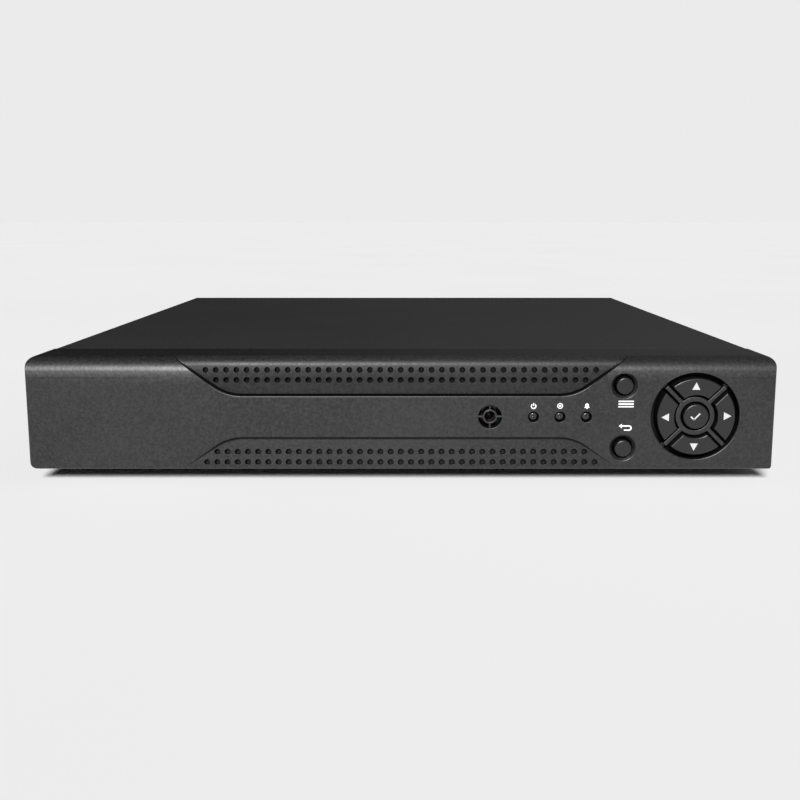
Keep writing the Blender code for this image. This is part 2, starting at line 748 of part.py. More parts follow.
def make_front_board(material):
    """The board that carries the switches, the lamps and the receiver."""
    low = (FRONT_BOARD_X[0], FRONT_BOARD_Y, FRONT_BOARD_Z[0])
    high = (FRONT_BOARD_X[1], FRONT_BOARD_Y + BOARD_THICK, FRONT_BOARD_Z[1])
    return paint(block("front_board", low, high), material)


# Steel case

def screw_hole(axis, across, up, low, high):
    """One screw hole, as a tool."""
    return prism("tool", circle(across, up, SCREW_HOLE, 10), axis, low, high)


def make_cover(material):
    """The folded cover: top, two sides and a rear lip, with side slots."""
    half = COVER_WIDTH / 2
    front = PANEL_BACK_Y + GAP
    low_z = BASE_Z + GAP
    outline = [(-half, low_z)]
    outline += arc(-half + COVER_BEND, HEIGHT - COVER_BEND, COVER_BEND, 180, 90, 3)
    outline += arc(half - COVER_BEND, HEIGHT - COVER_BEND, COVER_BEND, 90, 0, 3)
    outline += [(half, low_z), (half - SHEET, low_z)]
    outline += [(half - SHEET, HEIGHT - SHEET), (-half + SHEET, HEIGHT - SHEET)]
    outline += [(-half + SHEET, low_z)]
    cover = prism("top_cover", outline, "Y", front, BACK_Y)
    inset = 0.4 * MM
    low = (-half + inset, BACK_Y - SHEET, REAR_LIP_Z)
    join(cover, block("lip", low, (half - inset, BACK_Y - 0.02 * MM, HEIGHT - inset)))
    for side in (-1, 1):
        reach = sorted((side * (half - 3 * SHEET), side * (half + 3 * SHEET)))
        for y in SIDE_SCREW_Y:
            cut(cover, screw_hole("X", y, SIDE_SCREW_Z, *reach))
        bm = bmesh.new()
        for index in range(SLOT_COUNT):
            y = (index - (SLOT_COUNT - 1) / 2) * SLOT_PITCH
            slot = rectangle(y - SLOT_HALF, SLOT_Z[0], y + SLOT_HALF, SLOT_Z[1])
            add_prism(bm, slot, "X", *reach)
        cut(cover, to_object(bm, "slots"))
        rear = (BACK_Y - 3 * SHEET, BACK_Y + CUT_PAST)
        cut(cover, screw_hole("Y", side * REAR_SCREW_X, REAR_SCREW_Z, *rear))
    return paint(cover, material)


def socket_windows():
    """Outlines of the rear wall's windows, in X and Z."""
    windows = []
    for x in VIDEO_X:
        windows.append(circle(x, VIDEO_Z, VIDEO_COLLAR + SOCKET_GAP, 20))
    for side in (-1, 1):
        windows.append(circle(AUDIO_X + side * AUDIO_PITCH / 2, AUDIO_Z, AUDIO_COLLAR + SOCKET_GAP, 16))
    middle = PART_Z + ANALOG_SIZE[1] / 2
    shell = (SHELL_WIDE + 0.15 * MM, middle - SHELL_HIGH - 0.2 * MM, middle + SHELL_HIGH + 0.2 * MM)
    sizes = [(ANALOG_X, *shell)]
    for x, (half, height) in (
        (DIGITAL_X, DIGITAL_SIZE),
        (LAN_X, LAN_SIZE),
        (DATA_X, DATA_SIZE),
        (POWER_X, POWER_SIZE),
    ):
        sizes.append((x, half, PART_Z, PART_Z + height))
    for x, half, low, high in sizes:
        wide = half + SOCKET_GAP
        windows.append(rectangle(x - wide, low - GAP, x + wide, high + SOCKET_GAP))
    return windows


def add_posts(tray):
    """The pressed posts that carry the main board and the drive."""
    start_z = FLOOR_Z - SHEET / 2
    for x in BOARD_HOLD_X:
        for y in BOARD_HOLD_Y:
            post = circle(x, y, POST_RADIUS, 10)
            join(tray, prism("post", post, "Z", start_z, MAIN_BOARD_Z - GAP))
    drive_x = DRIVE_LOW[0] + DRIVE_SIZE[0] / 2
    drive_y = DRIVE_LOW[1] + DRIVE_SIZE[1] / 2
    for side_x in (-1, 1):
        for side_y in (-1, 1):
            centre = (drive_x + side_x * DRIVE_HOLD[0], drive_y + side_y * DRIVE_HOLD[1])
            post = circle(*centre, DRIVE_POST_RADIUS, 10)
            join(tray, prism("post", post, "Z", start_z, DRIVE_LOW[2] - GAP))


def floor_slots():
    """Two rows of slots under the drive, as a tool."""
    bm = bmesh.new()
    half_x, half_y = FLOOR_SLOT_HALF
    middle_x = DRIVE_LOW[0] + DRIVE_SIZE[0] / 2
    for y in FLOOR_SLOT_ROWS:
        for index in range(FLOOR_SLOT_COUNT):
            x = middle_x + (index - (FLOOR_SLOT_COUNT - 1) / 2) * FLOOR_SLOT_PITCH
            slot = rectangle(x - half_x, y - half_y, x + half_x, y + half_y)
            add_prism(bm, slot, "Z", BASE_Z - CUT_PAST, FLOOR_Z + CUT_PAST)
    return to_object(bm, "slots")


def make_tray(material):
    """The folded bottom tray: floor, side flanges, front wall and rear wall."""
    low_y = TRAY_FRONT_Y
    high_y = REAR_WALL_Y
    tray = block("bottom_tray", (-TRAY_HALF, low_y, BASE_Z), (TRAY_HALF, high_y, WALL_TOP_Z))
    inner_low = (-TRAY_HALF + SHEET, low_y + SHEET, FLOOR_Z)
    inner_high = (TRAY_HALF - SHEET, high_y - SHEET, HEIGHT)
    cut(tray, block("inside", inner_low, inner_high))
    side_low = (-TRAY_HALF - CUT_PAST, low_y + SHEET, SIDE_FLANGE_Z)
    cut(tray, block("sides", side_low, (TRAY_HALF + CUT_PAST, high_y - SHEET, HEIGHT)))
    add_posts(tray)
    for outline in socket_windows():
        cut(tray, prism("window", outline, "Y", high_y - 3 * SHEET, high_y + CUT_PAST))
    front = (low_y - CUT_PAST, low_y + 3 * SHEET)
    cut(tray, prism("window", rectangle(*HARNESS_WINDOW[0], *HARNESS_WINDOW[1]), "Y", *front))
    for side in (-1, 1):
        across = sorted((side * (HOOK_X - SOCKET_GAP), side * (HOOK_X + HOOK_THICK + SOCKET_GAP)))
        slot = rectangle(across[0], HOOK_LOW_Z - MM, across[1], HOOK_HIGH_Z + MM)
        cut(tray, prism("window", slot, "Y", *front))
        reach = sorted((side * (TRAY_HALF - 3 * SHEET), side * (TRAY_HALF + 3 * SHEET)))
        for y in SIDE_SCREW_Y:
            cut(tray, screw_hole("X", y, SIDE_SCREW_Z, *reach))
        rear = (high_y - 3 * SHEET, high_y + CUT_PAST)
        cut(tray, screw_hole("Y", side * REAR_SCREW_X, REAR_SCREW_Z, *rear))
    cut(tray, floor_slots())
    return paint(tray, material)


def make_screw(name, axis, across, up, face, inward, material):
    """A pan-head screw whose head sits on a face and whose shank runs inward."""
    seat = face - inward * GAP
    tip = seat + inward * SHANK_LENGTH
    profile = [(0.0, seat - inward * HEAD_HEIGHT), (0.6 * SCREW_HEAD, seat - inward * HEAD_HEIGHT)]
    profile += [(0.92 * SCREW_HEAD, seat - inward * 0.65 * HEAD_HEIGHT)]
    profile += [(SCREW_HEAD, seat - inward * 0.2 * HEAD_HEIGHT), (SCREW_HEAD, seat)]
    profile += [(SCREW_RADIUS, seat), (SCREW_RADIUS, tip), (0.0, tip)]
    return paint(turned(name, profile, axis, (across, up), 12), material)


def make_screws(material):
    """Four side screws and two rear screws hold the cover down."""
    half = COVER_WIDTH / 2
    for side, side_name in ((-1, "left"), (1, "right")):
        for y, end_name in zip(SIDE_SCREW_Y, ("front", "rear")):
            name = "side_screw_" + side_name + "_" + end_name
            make_screw(name, "X", y, SIDE_SCREW_Z, side * half, -side, material)
        name = "rear_screw_" + side_name
        make_screw(name, "Y", side * REAR_SCREW_X, REAR_SCREW_Z, BACK_Y, -1, material)


def make_feet(material):
    """Four round rubber feet under the tray."""
    for side, side_name in ((-1, "left"), (1, "right")):
        for y, end_name in zip(FOOT_Y, ("front", "rear")):
            sole = FOOT_RADIUS - 0.8 * MM
            profile = [(0.0, 0.0), (sole, 0.0), (FOOT_RADIUS, MM)]
            profile += [(FOOT_RADIUS, FOOT_HEIGHT), (0.0, FOOT_HEIGHT)]
            name = "foot_" + end_name + "_" + side_name
            paint(turned(name, profile, "Z", (side * FOOT_X, y), 24), material)


# Sockets

def make_video_socket(name, x, material):
    """A bayonet video socket with its square base on the board."""
    half, front_y, height = VIDEO_BLOCK
    rear_y = REAR_WALL_Y - SHEET - GAP
    body = block(name, (x - half, front_y, PART_Z), (x + half, rear_y, PART_Z + height))
    neck_y = REAR_WALL_Y + 1.5 * MM
    core_y = FULL_BACK_Y - 2.5 * MM
    profile = [(0.0, COLLAR_FRONT_Y), (VIDEO_COLLAR, COLLAR_FRONT_Y), (VIDEO_COLLAR, neck_y)]
    profile += [(VIDEO_BARREL, neck_y), (VIDEO_BARREL, FULL_BACK_Y), (VIDEO_BORE, FULL_BACK_Y)]
    profile += [(VIDEO_BORE, neck_y + MM), (VIDEO_CORE, neck_y + MM), (VIDEO_CORE, core_y)]
    profile += [(VIDEO_CONTACT, core_y), (VIDEO_CONTACT, neck_y + 3 * MM), (0.0, neck_y + 3 * MM)]
    barrel = turned("barrel", profile, "Y", (x, VIDEO_Z), 16)
    lug_y = FULL_BACK_Y - VIDEO_LUG_BACK
    inner, outer, thick = VIDEO_LUG
    for side in (-1, 1):
        across = sorted((x + side * inner, x + side * outer))
        lug = rectangle(across[0], lug_y - thick, across[1], lug_y + thick)
        join(barrel, prism("lug", lug, "Z", VIDEO_Z - thick, VIDEO_Z + thick))
    join(body, barrel)
    return paint(body, material)


def make_audio_socket(material):
    """Two phono sockets, side by side in one block."""
    margin, front_y, height = AUDIO_BLOCK
    half = AUDIO_PITCH / 2 + margin
    high = (AUDIO_X + half, REAR_WALL_Y - SHEET - GAP, PART_Z + height)
    body = block("audio_socket", (AUDIO_X - half, front_y, PART_Z), high)
    end = REAR_WALL_Y + AUDIO_LENGTH
    bottom = end - 8.0 * MM
    profile = [(0.0, COLLAR_FRONT_Y), (AUDIO_COLLAR, COLLAR_FRONT_Y), (AUDIO_COLLAR, REAR_WALL_Y + MM)]
    profile += [(AUDIO_BARREL, REAR_WALL_Y + MM), (AUDIO_BARREL, end)]
    profile += [(AUDIO_BORE, end), (AUDIO_BORE, bottom), (0.0, bottom)]
    for side in (-1, 1):
        centre = (AUDIO_X + side * AUDIO_PITCH / 2, AUDIO_Z)
        join(body, turned("barrel", profile, "Y", centre, 16))
    return paint(body, material)


def make_analog_socket(material):
    """A fifteen-way display socket: shell, flange and face with its pin holes."""
    half, height = ANALOG_SIZE
    middle = PART_Z + height / 2
    low = (ANALOG_X - half, 96.0 * MM, PART_Z)
    high = (ANALOG_X + half, REAR_WALL_Y - SHEET - GAP, PART_Z + height)
    body = block("analog_display_socket", low, high)
    shell = [(ANALOG_X - SHELL_NARROW, middle - SHELL_HIGH), (ANALOG_X + SHELL_NARROW, middle - SHELL_HIGH)]
    shell += [(ANALOG_X + SHELL_WIDE, middle + SHELL_HIGH), (ANALOG_X - SHELL_WIDE, middle + SHELL_HIGH)]
    join(body, prism("shell", shell, "Y", COLLAR_FRONT_Y, REAR_WALL_Y + 5.0 * MM))
    bm = bmesh.new()
    for row in (-1, 0, 1):
        for index in range(5):
            x = ANALOG_X + (index - 2) * PIN_PITCH[0] + row * PIN_STAGGER
            pin = circle(x, middle + row * PIN_PITCH[1], PIN_RADIUS, 6)
            add_prism(bm, pin, "Y", REAR_WALL_Y + MM, REAR_WALL_Y + 6 * MM)
    cut(body, to_object(bm, "pins"))
    return paint(body, material)


def make_slot_socket(name, x, size, depth, cavities, material):
    """A shielded socket: a box with cavities, each split by a contact tongue.

    A cavity lists its bottom, top, half width, depth and the thickness of its tongue.
    """
    half, height = size
    low = (x - half, REAR_FACE_Y - depth, PART_Z)
    body = block(name, low, (x + half, REAR_FACE_Y, PART_Z + height))
    for bottom, top, cavity_half, cavity_depth, tongue in cavities:
        cavity_low = (x - cavity_half, REAR_FACE_Y - cavity_depth, PART_Z + bottom)
        cavity_high = (x + cavity_half, REAR_FACE_Y + CUT_PAST, PART_Z + top)
        cut(body, block("cavity", cavity_low, cavity_high))
        if tongue:
            middle = PART_Z + (bottom + top) / 2
            side = cavity_half - 0.9 * MM
            start = REAR_FACE_Y - cavity_depth - MM
            tongue_low = (x - side, start, middle - tongue / 2)
            join(body, block("tongue", tongue_low, (x + side, REAR_FACE_Y - MM, middle + tongue / 2)))
    return paint(body, material)


def make_power_inlet(material):
    """The barrel inlet for the power lead, with its centre pin."""
    half, height = POWER_SIZE
    low = (POWER_X - half, REAR_FACE_Y - 14.0 * MM, PART_Z)
    body = block("power_inlet", low, (POWER_X + half, REAR_FACE_Y, PART_Z + height))
    centre = (POWER_X, PART_Z + 6.2 * MM)
    bottom = REAR_FACE_Y - POWER_DEPTH
    mouth = REAR_FACE_Y + CUT_PAST
    profile = [(0.0, bottom), (POWER_BORE, bottom), (POWER_BORE, mouth), (0.0, mouth)]
    cut(body, turned("bore", profile, "Y", centre, 16))
    tip = REAR_FACE_Y - MM
    profile = [(0.0, bottom - MM), (POWER_PIN, bottom - MM), (POWER_PIN, tip), (0.0, tip)]
    join(body, turned("pin", profile, "Y", centre, 8))
    return paint(body, material)


def make_sockets(materials):
    """Every socket on the rear wall."""
    nickel = materials["nickel"]
    for index, x in enumerate(VIDEO_X):
        make_video_socket("video_socket_" + str(index + 1), x, nickel)
    make_audio_socket(materials["black_plastic"])
    make_analog_socket(nickel)
    digital = [(0.7 * MM, 5.3 * MM, 6.8 * MM, 8.0 * MM, 1.4 * MM)]
    make_slot_socket("digital_display_socket", DIGITAL_X, DIGITAL_SIZE, 12.0 * MM, digital, nickel)
    plug = (3.0 * MM, 10.4 * MM, 5.9 * MM, 13.0 * MM, 0.0)
    latch = (1.0 * MM, 3.2 * MM, 3.0 * MM, 8.0 * MM, 0.0)
    make_slot_socket("lan_socket", LAN_X, LAN_SIZE, 21.0 * MM, [plug, latch], nickel)
    pair = []
    for bottom in (1.4 * MM, 8.9 * MM):
        pair.append((bottom, bottom + 5.1 * MM, 6.25 * MM, 11.0 * MM, 1.9 * MM))
    make_slot_socket("data_socket_pair", DATA_X, DATA_SIZE, 17.5 * MM, pair, nickel)
    make_power_inlet(materials["black_plastic"])


# Inside

def make_main_board(material):
    """The main board on its posts."""
    low = (*MAIN_BOARD_LOW, MAIN_BOARD_Z)
    return paint(block("main_board", low, (*MAIN_BOARD_HIGH, BOARD_TOP_Z)), material)


def make_heat_sink(material):
    """A finned block over the main processor."""
    low_x, low_y = SINK_LOW
    high = (low_x + SINK_SIDE, low_y + SINK_SIDE, PART_Z + SINK_HEIGHT)
    sink = block("heat_sink", (low_x, low_y, PART_Z), high)
    bm = bmesh.new()
    for index in range(SINK_GAPS):
        x = low_x + (index + 0.5) * SINK_SIDE / SINK_GAPS
        gap = rectangle(x - SINK_GAP / 2, PART_Z + SINK_BASE, x + SINK_GAP / 2, high[2] + CUT_PAST)
        add_prism(bm, gap, "Y", low_y - CUT_PAST, high[1] + CUT_PAST)
    cut(sink, to_object(bm, "gaps"))
    return paint(sink, material)


def make_clock_cell(materials):
    """The button cell that keeps the clock running, and its holder."""
    floor = PART_Z + 1.5 * MM
    rim_z = PART_Z + 4.5 * MM
    outer = CELL_RADIUS + 2.0 * MM
    inner = CELL_RADIUS + 0.4 * MM
    profile = [(0.0, PART_Z), (outer, PART_Z), (outer, rim_z), (inner, rim_z), (inner, floor), (0.0, floor)]
    paint(turned("cell_holder", profile, "Z", CELL_CENTRE, 24), materials["black_plastic"])
    low = floor + GAP
    high = low + CELL_HEIGHT
    edge = 0.6 * MM
    profile = [(0.0, low), (CELL_RADIUS - 2 * edge, low), (CELL_RADIUS, low + edge)]
    profile += [(CELL_RADIUS, high), (0.0, high)]
    paint(turned("clock_cell", profile, "Z", CELL_CENTRE, 24), materials["nickel"])


def make_drive(material):
    """The hard drive: cast base, raised lid and a recess for its two sockets."""
    low = DRIVE_LOW
    high = [low[axis] + DRIVE_SIZE[axis] for axis in range(3)]
    inset = DRIVE_LID_INSET
    base = rounded_rectangle(low[:2], high[:2], inset, inset, 3)
    drive = prism("hard_drive", base, "Z", low[2], high[2] - DRIVE_LID_DROP)
    lid_low = (low[0] + inset, low[1] + inset)
    lid_high = (high[0] - inset, high[1] - inset)
    lid = rounded_rectangle(lid_low, lid_high, 2 * inset, 2 * inset, 3)
    join(drive, prism("lid", lid, "Z", high[2] - 2 * DRIVE_LID_DROP, high[2]))
    recess_low = (high[0] - 8.0 * MM, low[1] + 12.0 * MM, low[2] + 2.0 * MM)
    recess_high = (high[0] + CUT_PAST, low[1] + 62.0 * MM, low[2] + 9.0 * MM)
    cut(drive, block("recess", recess_low, recess_high))
    return paint(drive, material)


def make_cable(name, route, radius, start_plug, end_plug, material):
    """A cable made whole with the plug at each end; each plug is a pair of corners."""
    bm = bmesh.new()
    add_tube(bm, smooth_route(route, 4), radius, 8)
    cable = to_object(bm, name)
    join(cable, block("plug", *start_plug), block("plug", *end_plug))
    return paint(cable, material)


def millimetres(points):
    """Points written in millimetres, in metres."""
    return [tuple(value * MM for value in point) for point in points]


def make_cables(materials):
    """The drive's two cables and the harness of the front board."""
    route = [(36, -72, 13.5), (46, -71, 13.5), (62, -52, 15), (72, -20, 18), (74, 4, 18), (74, 12, 17.5)]
    start = millimetres([(25, -79, 10.8), (38, -65, 16.2)])
    end = millimetres([(67, 10, 14.1), (81, 24, 20.4)])
    red = materials["cable_red"]
    make_cable("drive_data_cable", millimetres(route), 2.2 * MM, start, end, red)
    route = [(36, -48, 13.5), (42, -46, 13.5), (50, -30, 14.5), (50, -10, 17), (48, 4, 18), (48, 12, 17.5)]
    start = millimetres([(25, -60, 10.8), (38, -38, 16.2)])
    end = millimetres([(42, 10, 14.1), (54, 24, 20.4)])
    grey = materials["cable_grey"]
    make_cable("drive_power_cable", millimetres(route), 2.4 * MM, start, end, grey)
    route = [(61, -103, 24), (61, -92, 24), (70, -76, 25), (96, -50, 26)]
    route += [(100, -10, 22), (100, 8, 17.5), (100, 14, 17.5)]
    start_y = FRONT_BOARD_Y + BOARD_THICK + GAP
    start = [(54.0 * MM, start_y, 21.0 * MM), (68.0 * MM, -102.0 * MM, 27.0 * MM)]
    end = millimetres([(92, 12, 14.1), (108, 22, 20.0)])
    make_cable("front_harness", millimetres(route), 2.0 * MM, start, end, grey)


def main():
    """Build the whole recorder."""
    clear_scene()
    materials = make_materials()
    make_front_panel(materials["panel_plastic"])
    make_keys(materials)
    for name, x in zip(("lamp_power", "lamp_record", "lamp_alarm"), LAMP_X):
        make_lamp(name, x, materials["lamp_plastic"])
    make_receiver(materials["remote_lens"])
    make_front_board(materials["board_green"])
    make_cover(materials["painted_steel"])
    make_tray(materials["painted_steel"])
    make_screws(materials["screw_steel"])
    make_feet(materials["rubber"])
    make_sockets(materials)
    make_main_board(materials["board_green"])
    make_heat_sink(materials["aluminium"])
    make_clock_cell(materials)
    make_drive(materials["aluminium"])
    make_cables(materials)


main()
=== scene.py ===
"""The looks of a compact digital video recorder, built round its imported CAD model.

The CAD frame has X to the right, Y to the back and Z up, in metres. The sizes below are in
millimetres in the same frame, and become metres when an object is made from them.
"""
import json
import math

import bmesh
import bpy
from mathutils import Matrix, Vector

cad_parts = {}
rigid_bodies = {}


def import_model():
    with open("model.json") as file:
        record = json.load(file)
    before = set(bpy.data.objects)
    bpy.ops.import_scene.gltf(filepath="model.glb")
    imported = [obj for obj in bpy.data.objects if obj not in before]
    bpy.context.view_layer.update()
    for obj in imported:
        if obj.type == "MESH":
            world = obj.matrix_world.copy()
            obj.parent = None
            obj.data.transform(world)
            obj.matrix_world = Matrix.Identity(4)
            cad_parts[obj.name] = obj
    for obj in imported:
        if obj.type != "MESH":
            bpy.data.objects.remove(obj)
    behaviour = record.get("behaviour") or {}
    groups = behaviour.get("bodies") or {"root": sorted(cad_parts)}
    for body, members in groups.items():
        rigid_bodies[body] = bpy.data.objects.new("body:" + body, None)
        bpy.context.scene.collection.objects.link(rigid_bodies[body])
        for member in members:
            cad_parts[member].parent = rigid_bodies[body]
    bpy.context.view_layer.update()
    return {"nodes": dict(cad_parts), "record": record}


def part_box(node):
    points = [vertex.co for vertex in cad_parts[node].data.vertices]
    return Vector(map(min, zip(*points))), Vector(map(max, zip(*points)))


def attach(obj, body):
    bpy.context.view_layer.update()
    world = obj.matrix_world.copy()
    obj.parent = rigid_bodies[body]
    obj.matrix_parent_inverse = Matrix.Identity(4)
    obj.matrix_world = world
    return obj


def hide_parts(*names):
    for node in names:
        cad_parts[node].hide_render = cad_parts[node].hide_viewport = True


MM = 0.001
CASE = "case"
NEAR = 1e-6
# How far a cutting tool, or a body that is joined on, reaches past the face it meets
PAST = 1.0
SHARP_ANGLE = math.radians(32.0)
BEVEL_ANGLE = math.radians(40.0)

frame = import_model()


def box(node):
    """Lowest and highest corners of a CAD node in millimetres."""
    low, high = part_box(node)
    return low / MM, high / MM


def centre_of(node):
    """Middle of a CAD node in X and Z."""
    low, high = box(node)
    return (low.x + high.x) / 2, (low.z + high.z) / 2


PANEL_LOW, PANEL_HIGH = box("front_panel")
COVER_LOW, COVER_HIGH = box("top_cover")
FRONT_Y = PANEL_LOW.y
TOP_Z = PANEL_HIGH.z
BASE_Z = PANEL_LOW.z
PANEL_BACK_Y = COVER_LOW.y - 0.3
INNER_Y = FRONT_Y + 4.0
BOARD_FRONT_Y = box("front_board")[0].y
MIDDLE_Z = sum(corner.z for corner in box("lamp_power")) / 2
INK_PROUD = 0.03


# Outlines across an axis

def arc(centre_u, centre_v, radius, start, end, steps):
    """Points along an arc, angles in degrees, both ends included."""
    points = []
    for step in range(steps + 1):
        angle = math.radians(start + (end - start) * step / steps)
        points.append((centre_u + radius * math.cos(angle), centre_v + radius * math.sin(angle)))
    return points


def quarter(steps):
    """Shares of a radius across and along a quarter round, from its start to its end."""
    turns = [math.radians(90.0 * step / steps) for step in range(steps + 1)]
    return [(math.sin(turn), 1 - math.cos(turn)) for turn in turns]


def spread(count, pitch):
    """Places of a row's members on both sides of its middle."""
    return [(index - (count - 1) / 2) * pitch for index in range(count)]


def circle(centre_u, centre_v, radius, sides):
    """A closed round outline."""
    return arc(centre_u, centre_v, radius, 0.0, 360.0 - 360.0 / sides, sides - 1)


def rectangle(low_u, low_v, high_u, high_v):
    """A closed rectangular outline."""
    return [(low_u, low_v), (high_u, low_v), (high_u, high_v), (low_u, high_v)]


def rounded_rectangle(low, high, radii, steps):
    """A rectangle with its own radius at each corner, from the low left one anticlockwise."""
    points = []
    for index, (radius, count) in enumerate(zip(radii, steps)):
        u = low[0] + radius if index in (0, 3) else high[0] - radius
        v = low[1] + radius if index < 2 else high[1] - radius
        points += arc(u, v, radius, 180 + 90 * index, 270 + 90 * index, count)
    return points


def even_rectangle(low, high, low_radius, high_radius, steps):
    """A rounded rectangle with one radius below and another above."""
    return rounded_rectangle(low, high, [low_radius] * 2 + [high_radius] * 2, [steps] * 4)


# Bodies in a bmesh

AXES = {"X": (1, 2, 0), "Y": (0, 2, 1), "Z": (0, 1, 2)}


def point_at(axis, across, up, along):
    """A point from two coordinates across an axis and one along it."""
    first, second, third = AXES[axis]
    point = [0.0, 0.0, 0.0]
    point[first] = across
    point[second] = up
    point[third] = along
    return point


def add_loft(bm, outlines, axis, levels):
    """A closed body through outlines of equal length, one at each level along the axis."""
    rings = []
    for outline, level in zip(outlines, levels):
        rings.append([bm.verts.new(point_at(axis, u, v, level)) for u, v in outline])
    faces = [bm.faces.new(rings[0]), bm.faces.new(rings[-1])]
    for ring, following in zip(rings, rings[1:]):
        for index in range(len(ring)):
            after = (index + 1) % len(ring)
            faces.append(bm.faces.new((ring[index], ring[after], following[after], following[index])))
    bmesh.ops.recalc_face_normals(bm, faces=faces)


def add_prism(bm, outline, axis, low, high):
    """A closed prism from low to high along the axis."""
    add_loft(bm, [outline, outline], axis, (low, high))


def add_turned(bm, profile, centre, sides, ring=False, axis="Y"):
    """A turned body from (radius, place along the axis); a ring's profile is closed."""
    rings = []
    for radius, level in profile:
        outline = circle(*centre, radius, sides)[:1 if radius == 0.0 else sides]
        rings.append([bm.verts.new(point_at(axis, u, v, level)) for u, v in outline])
    pairs = list(zip(rings, rings[1:]))
    if ring:
        pairs.append((rings[-1], rings[0]))
    faces = []
    for first, second in pairs:
        for step in range(sides):
            corners = [first[step % len(first)], first[(step + 1) % len(first)]]
            corners += [second[(step + 1) % len(second)], second[step % len(second)]]
            unique = list(dict.fromkeys(corners))
            if len(unique) > 2:
                faces.append(bm.faces.new(unique))
    bmesh.ops.recalc_face_normals(bm, faces=faces)


# Objects

def new_object(name, data):
    """An object in the scene."""
    item = bpy.data.objects.new(name, data)
    bpy.context.scene.collection.objects.link(item)
    return item


def to_object(bm, name):
    """Turn a bmesh in millimetres into an object in metres at the origin."""
    bmesh.ops.scale(bm, vec=(MM, MM, MM), verts=bm.verts)
    mesh = bpy.data.meshes.new(name)
    bm.to_mesh(mesh)
    bm.free()
    return new_object(name, mesh)


def prism(name, outline, axis, low, high):
    """An object that is one prism."""
    bm = bmesh.new()
    add_prism(bm, outline, axis, low, high)
    return to_object(bm, name)


def block(name, low, high):
    """An object that is one block between two corners."""
    return prism(name, rectangle(low[0], low[1], high[0], high[1]), "Z", low[2], high[2])


def turned(name, profile, centre, sides, ring=False, axis="Y"):
    """An object that is one turned body."""
    bm = bmesh.new()
    add_turned(bm, profile, centre, sides, ring, axis)
    return to_object(bm, name)


def settle(item):
    """Replace an object's mesh with what its modifiers make of it."""
    bpy.context.view_layer.update()
    depsgraph = bpy.context.evaluated_depsgraph_get()
    mesh = bpy.data.meshes.new_from_object(item.evaluated_get(depsgraph))
    item.modifiers.clear()
    item.data = mesh


def combine(target, tool, operation):
    """Cut, join or intersect the target with a tool, which is used up."""
    modifier = target.modifiers.new(operation.lower(), "BOOLEAN")
    modifier.operation = operation
    modifier.solver = "EXACT"
    modifier.object = tool
    settle(target)
    bpy.data.objects.remove(tool)


def cut(target, *tools):
    """Take each tool away from the target."""
    for tool in tools:
        combine(target, tool, "DIFFERENCE")


def join(target, *tools):
    """Add each tool to the target."""
    for tool in tools:
        combine(target, tool, "UNION")


def round_edges(item, width, segments=3):
    """Round every sharp edge of an object."""
    modifier = item.modifiers.new("round", "BEVEL")
    modifier.width = width * MM
    modifier.segments = segments
    modifier.limit_method = "ANGLE"
    modifier.angle_limit = BEVEL_ANGLE


def round_front(item, level, radius, segments, clamp):
    """Round the edges that lie across Y at a level."""
    bm = bmesh.new()
    bm.from_mesh(item.data)
    edges = [edge for edge in bm.edges if all(abs(v.co.y - level * MM) < NEAR for v in edge.verts)]
    bmesh.ops.bevel(bm, geom=edges, offset=radius * MM, segments=segments, profile=0.5,
                    affect="EDGES", clamp_overlap=clamp)
    bm.to_mesh(item.data)
    bm.free()


REPLACED = set()


def dress(item, slot, node=None, body=CASE):
    """Give a piece its looks, and say which node it replaces and which body it rides."""
    item.data.materials.clear()
    item.data.materials.append(MATERIALS[slot])
    item.data.shade_smooth()
    item.data.set_sharp_from_angle(angle=SHARP_ANGLE)
    weighted = item.modifiers.new("flat_faces", "WEIGHTED_NORMAL")
    weighted.keep_sharp = True
    weighted.weight = 50
    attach(item, body)
    if node:
        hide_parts(node)
        REPLACED.add(node)


# Materials

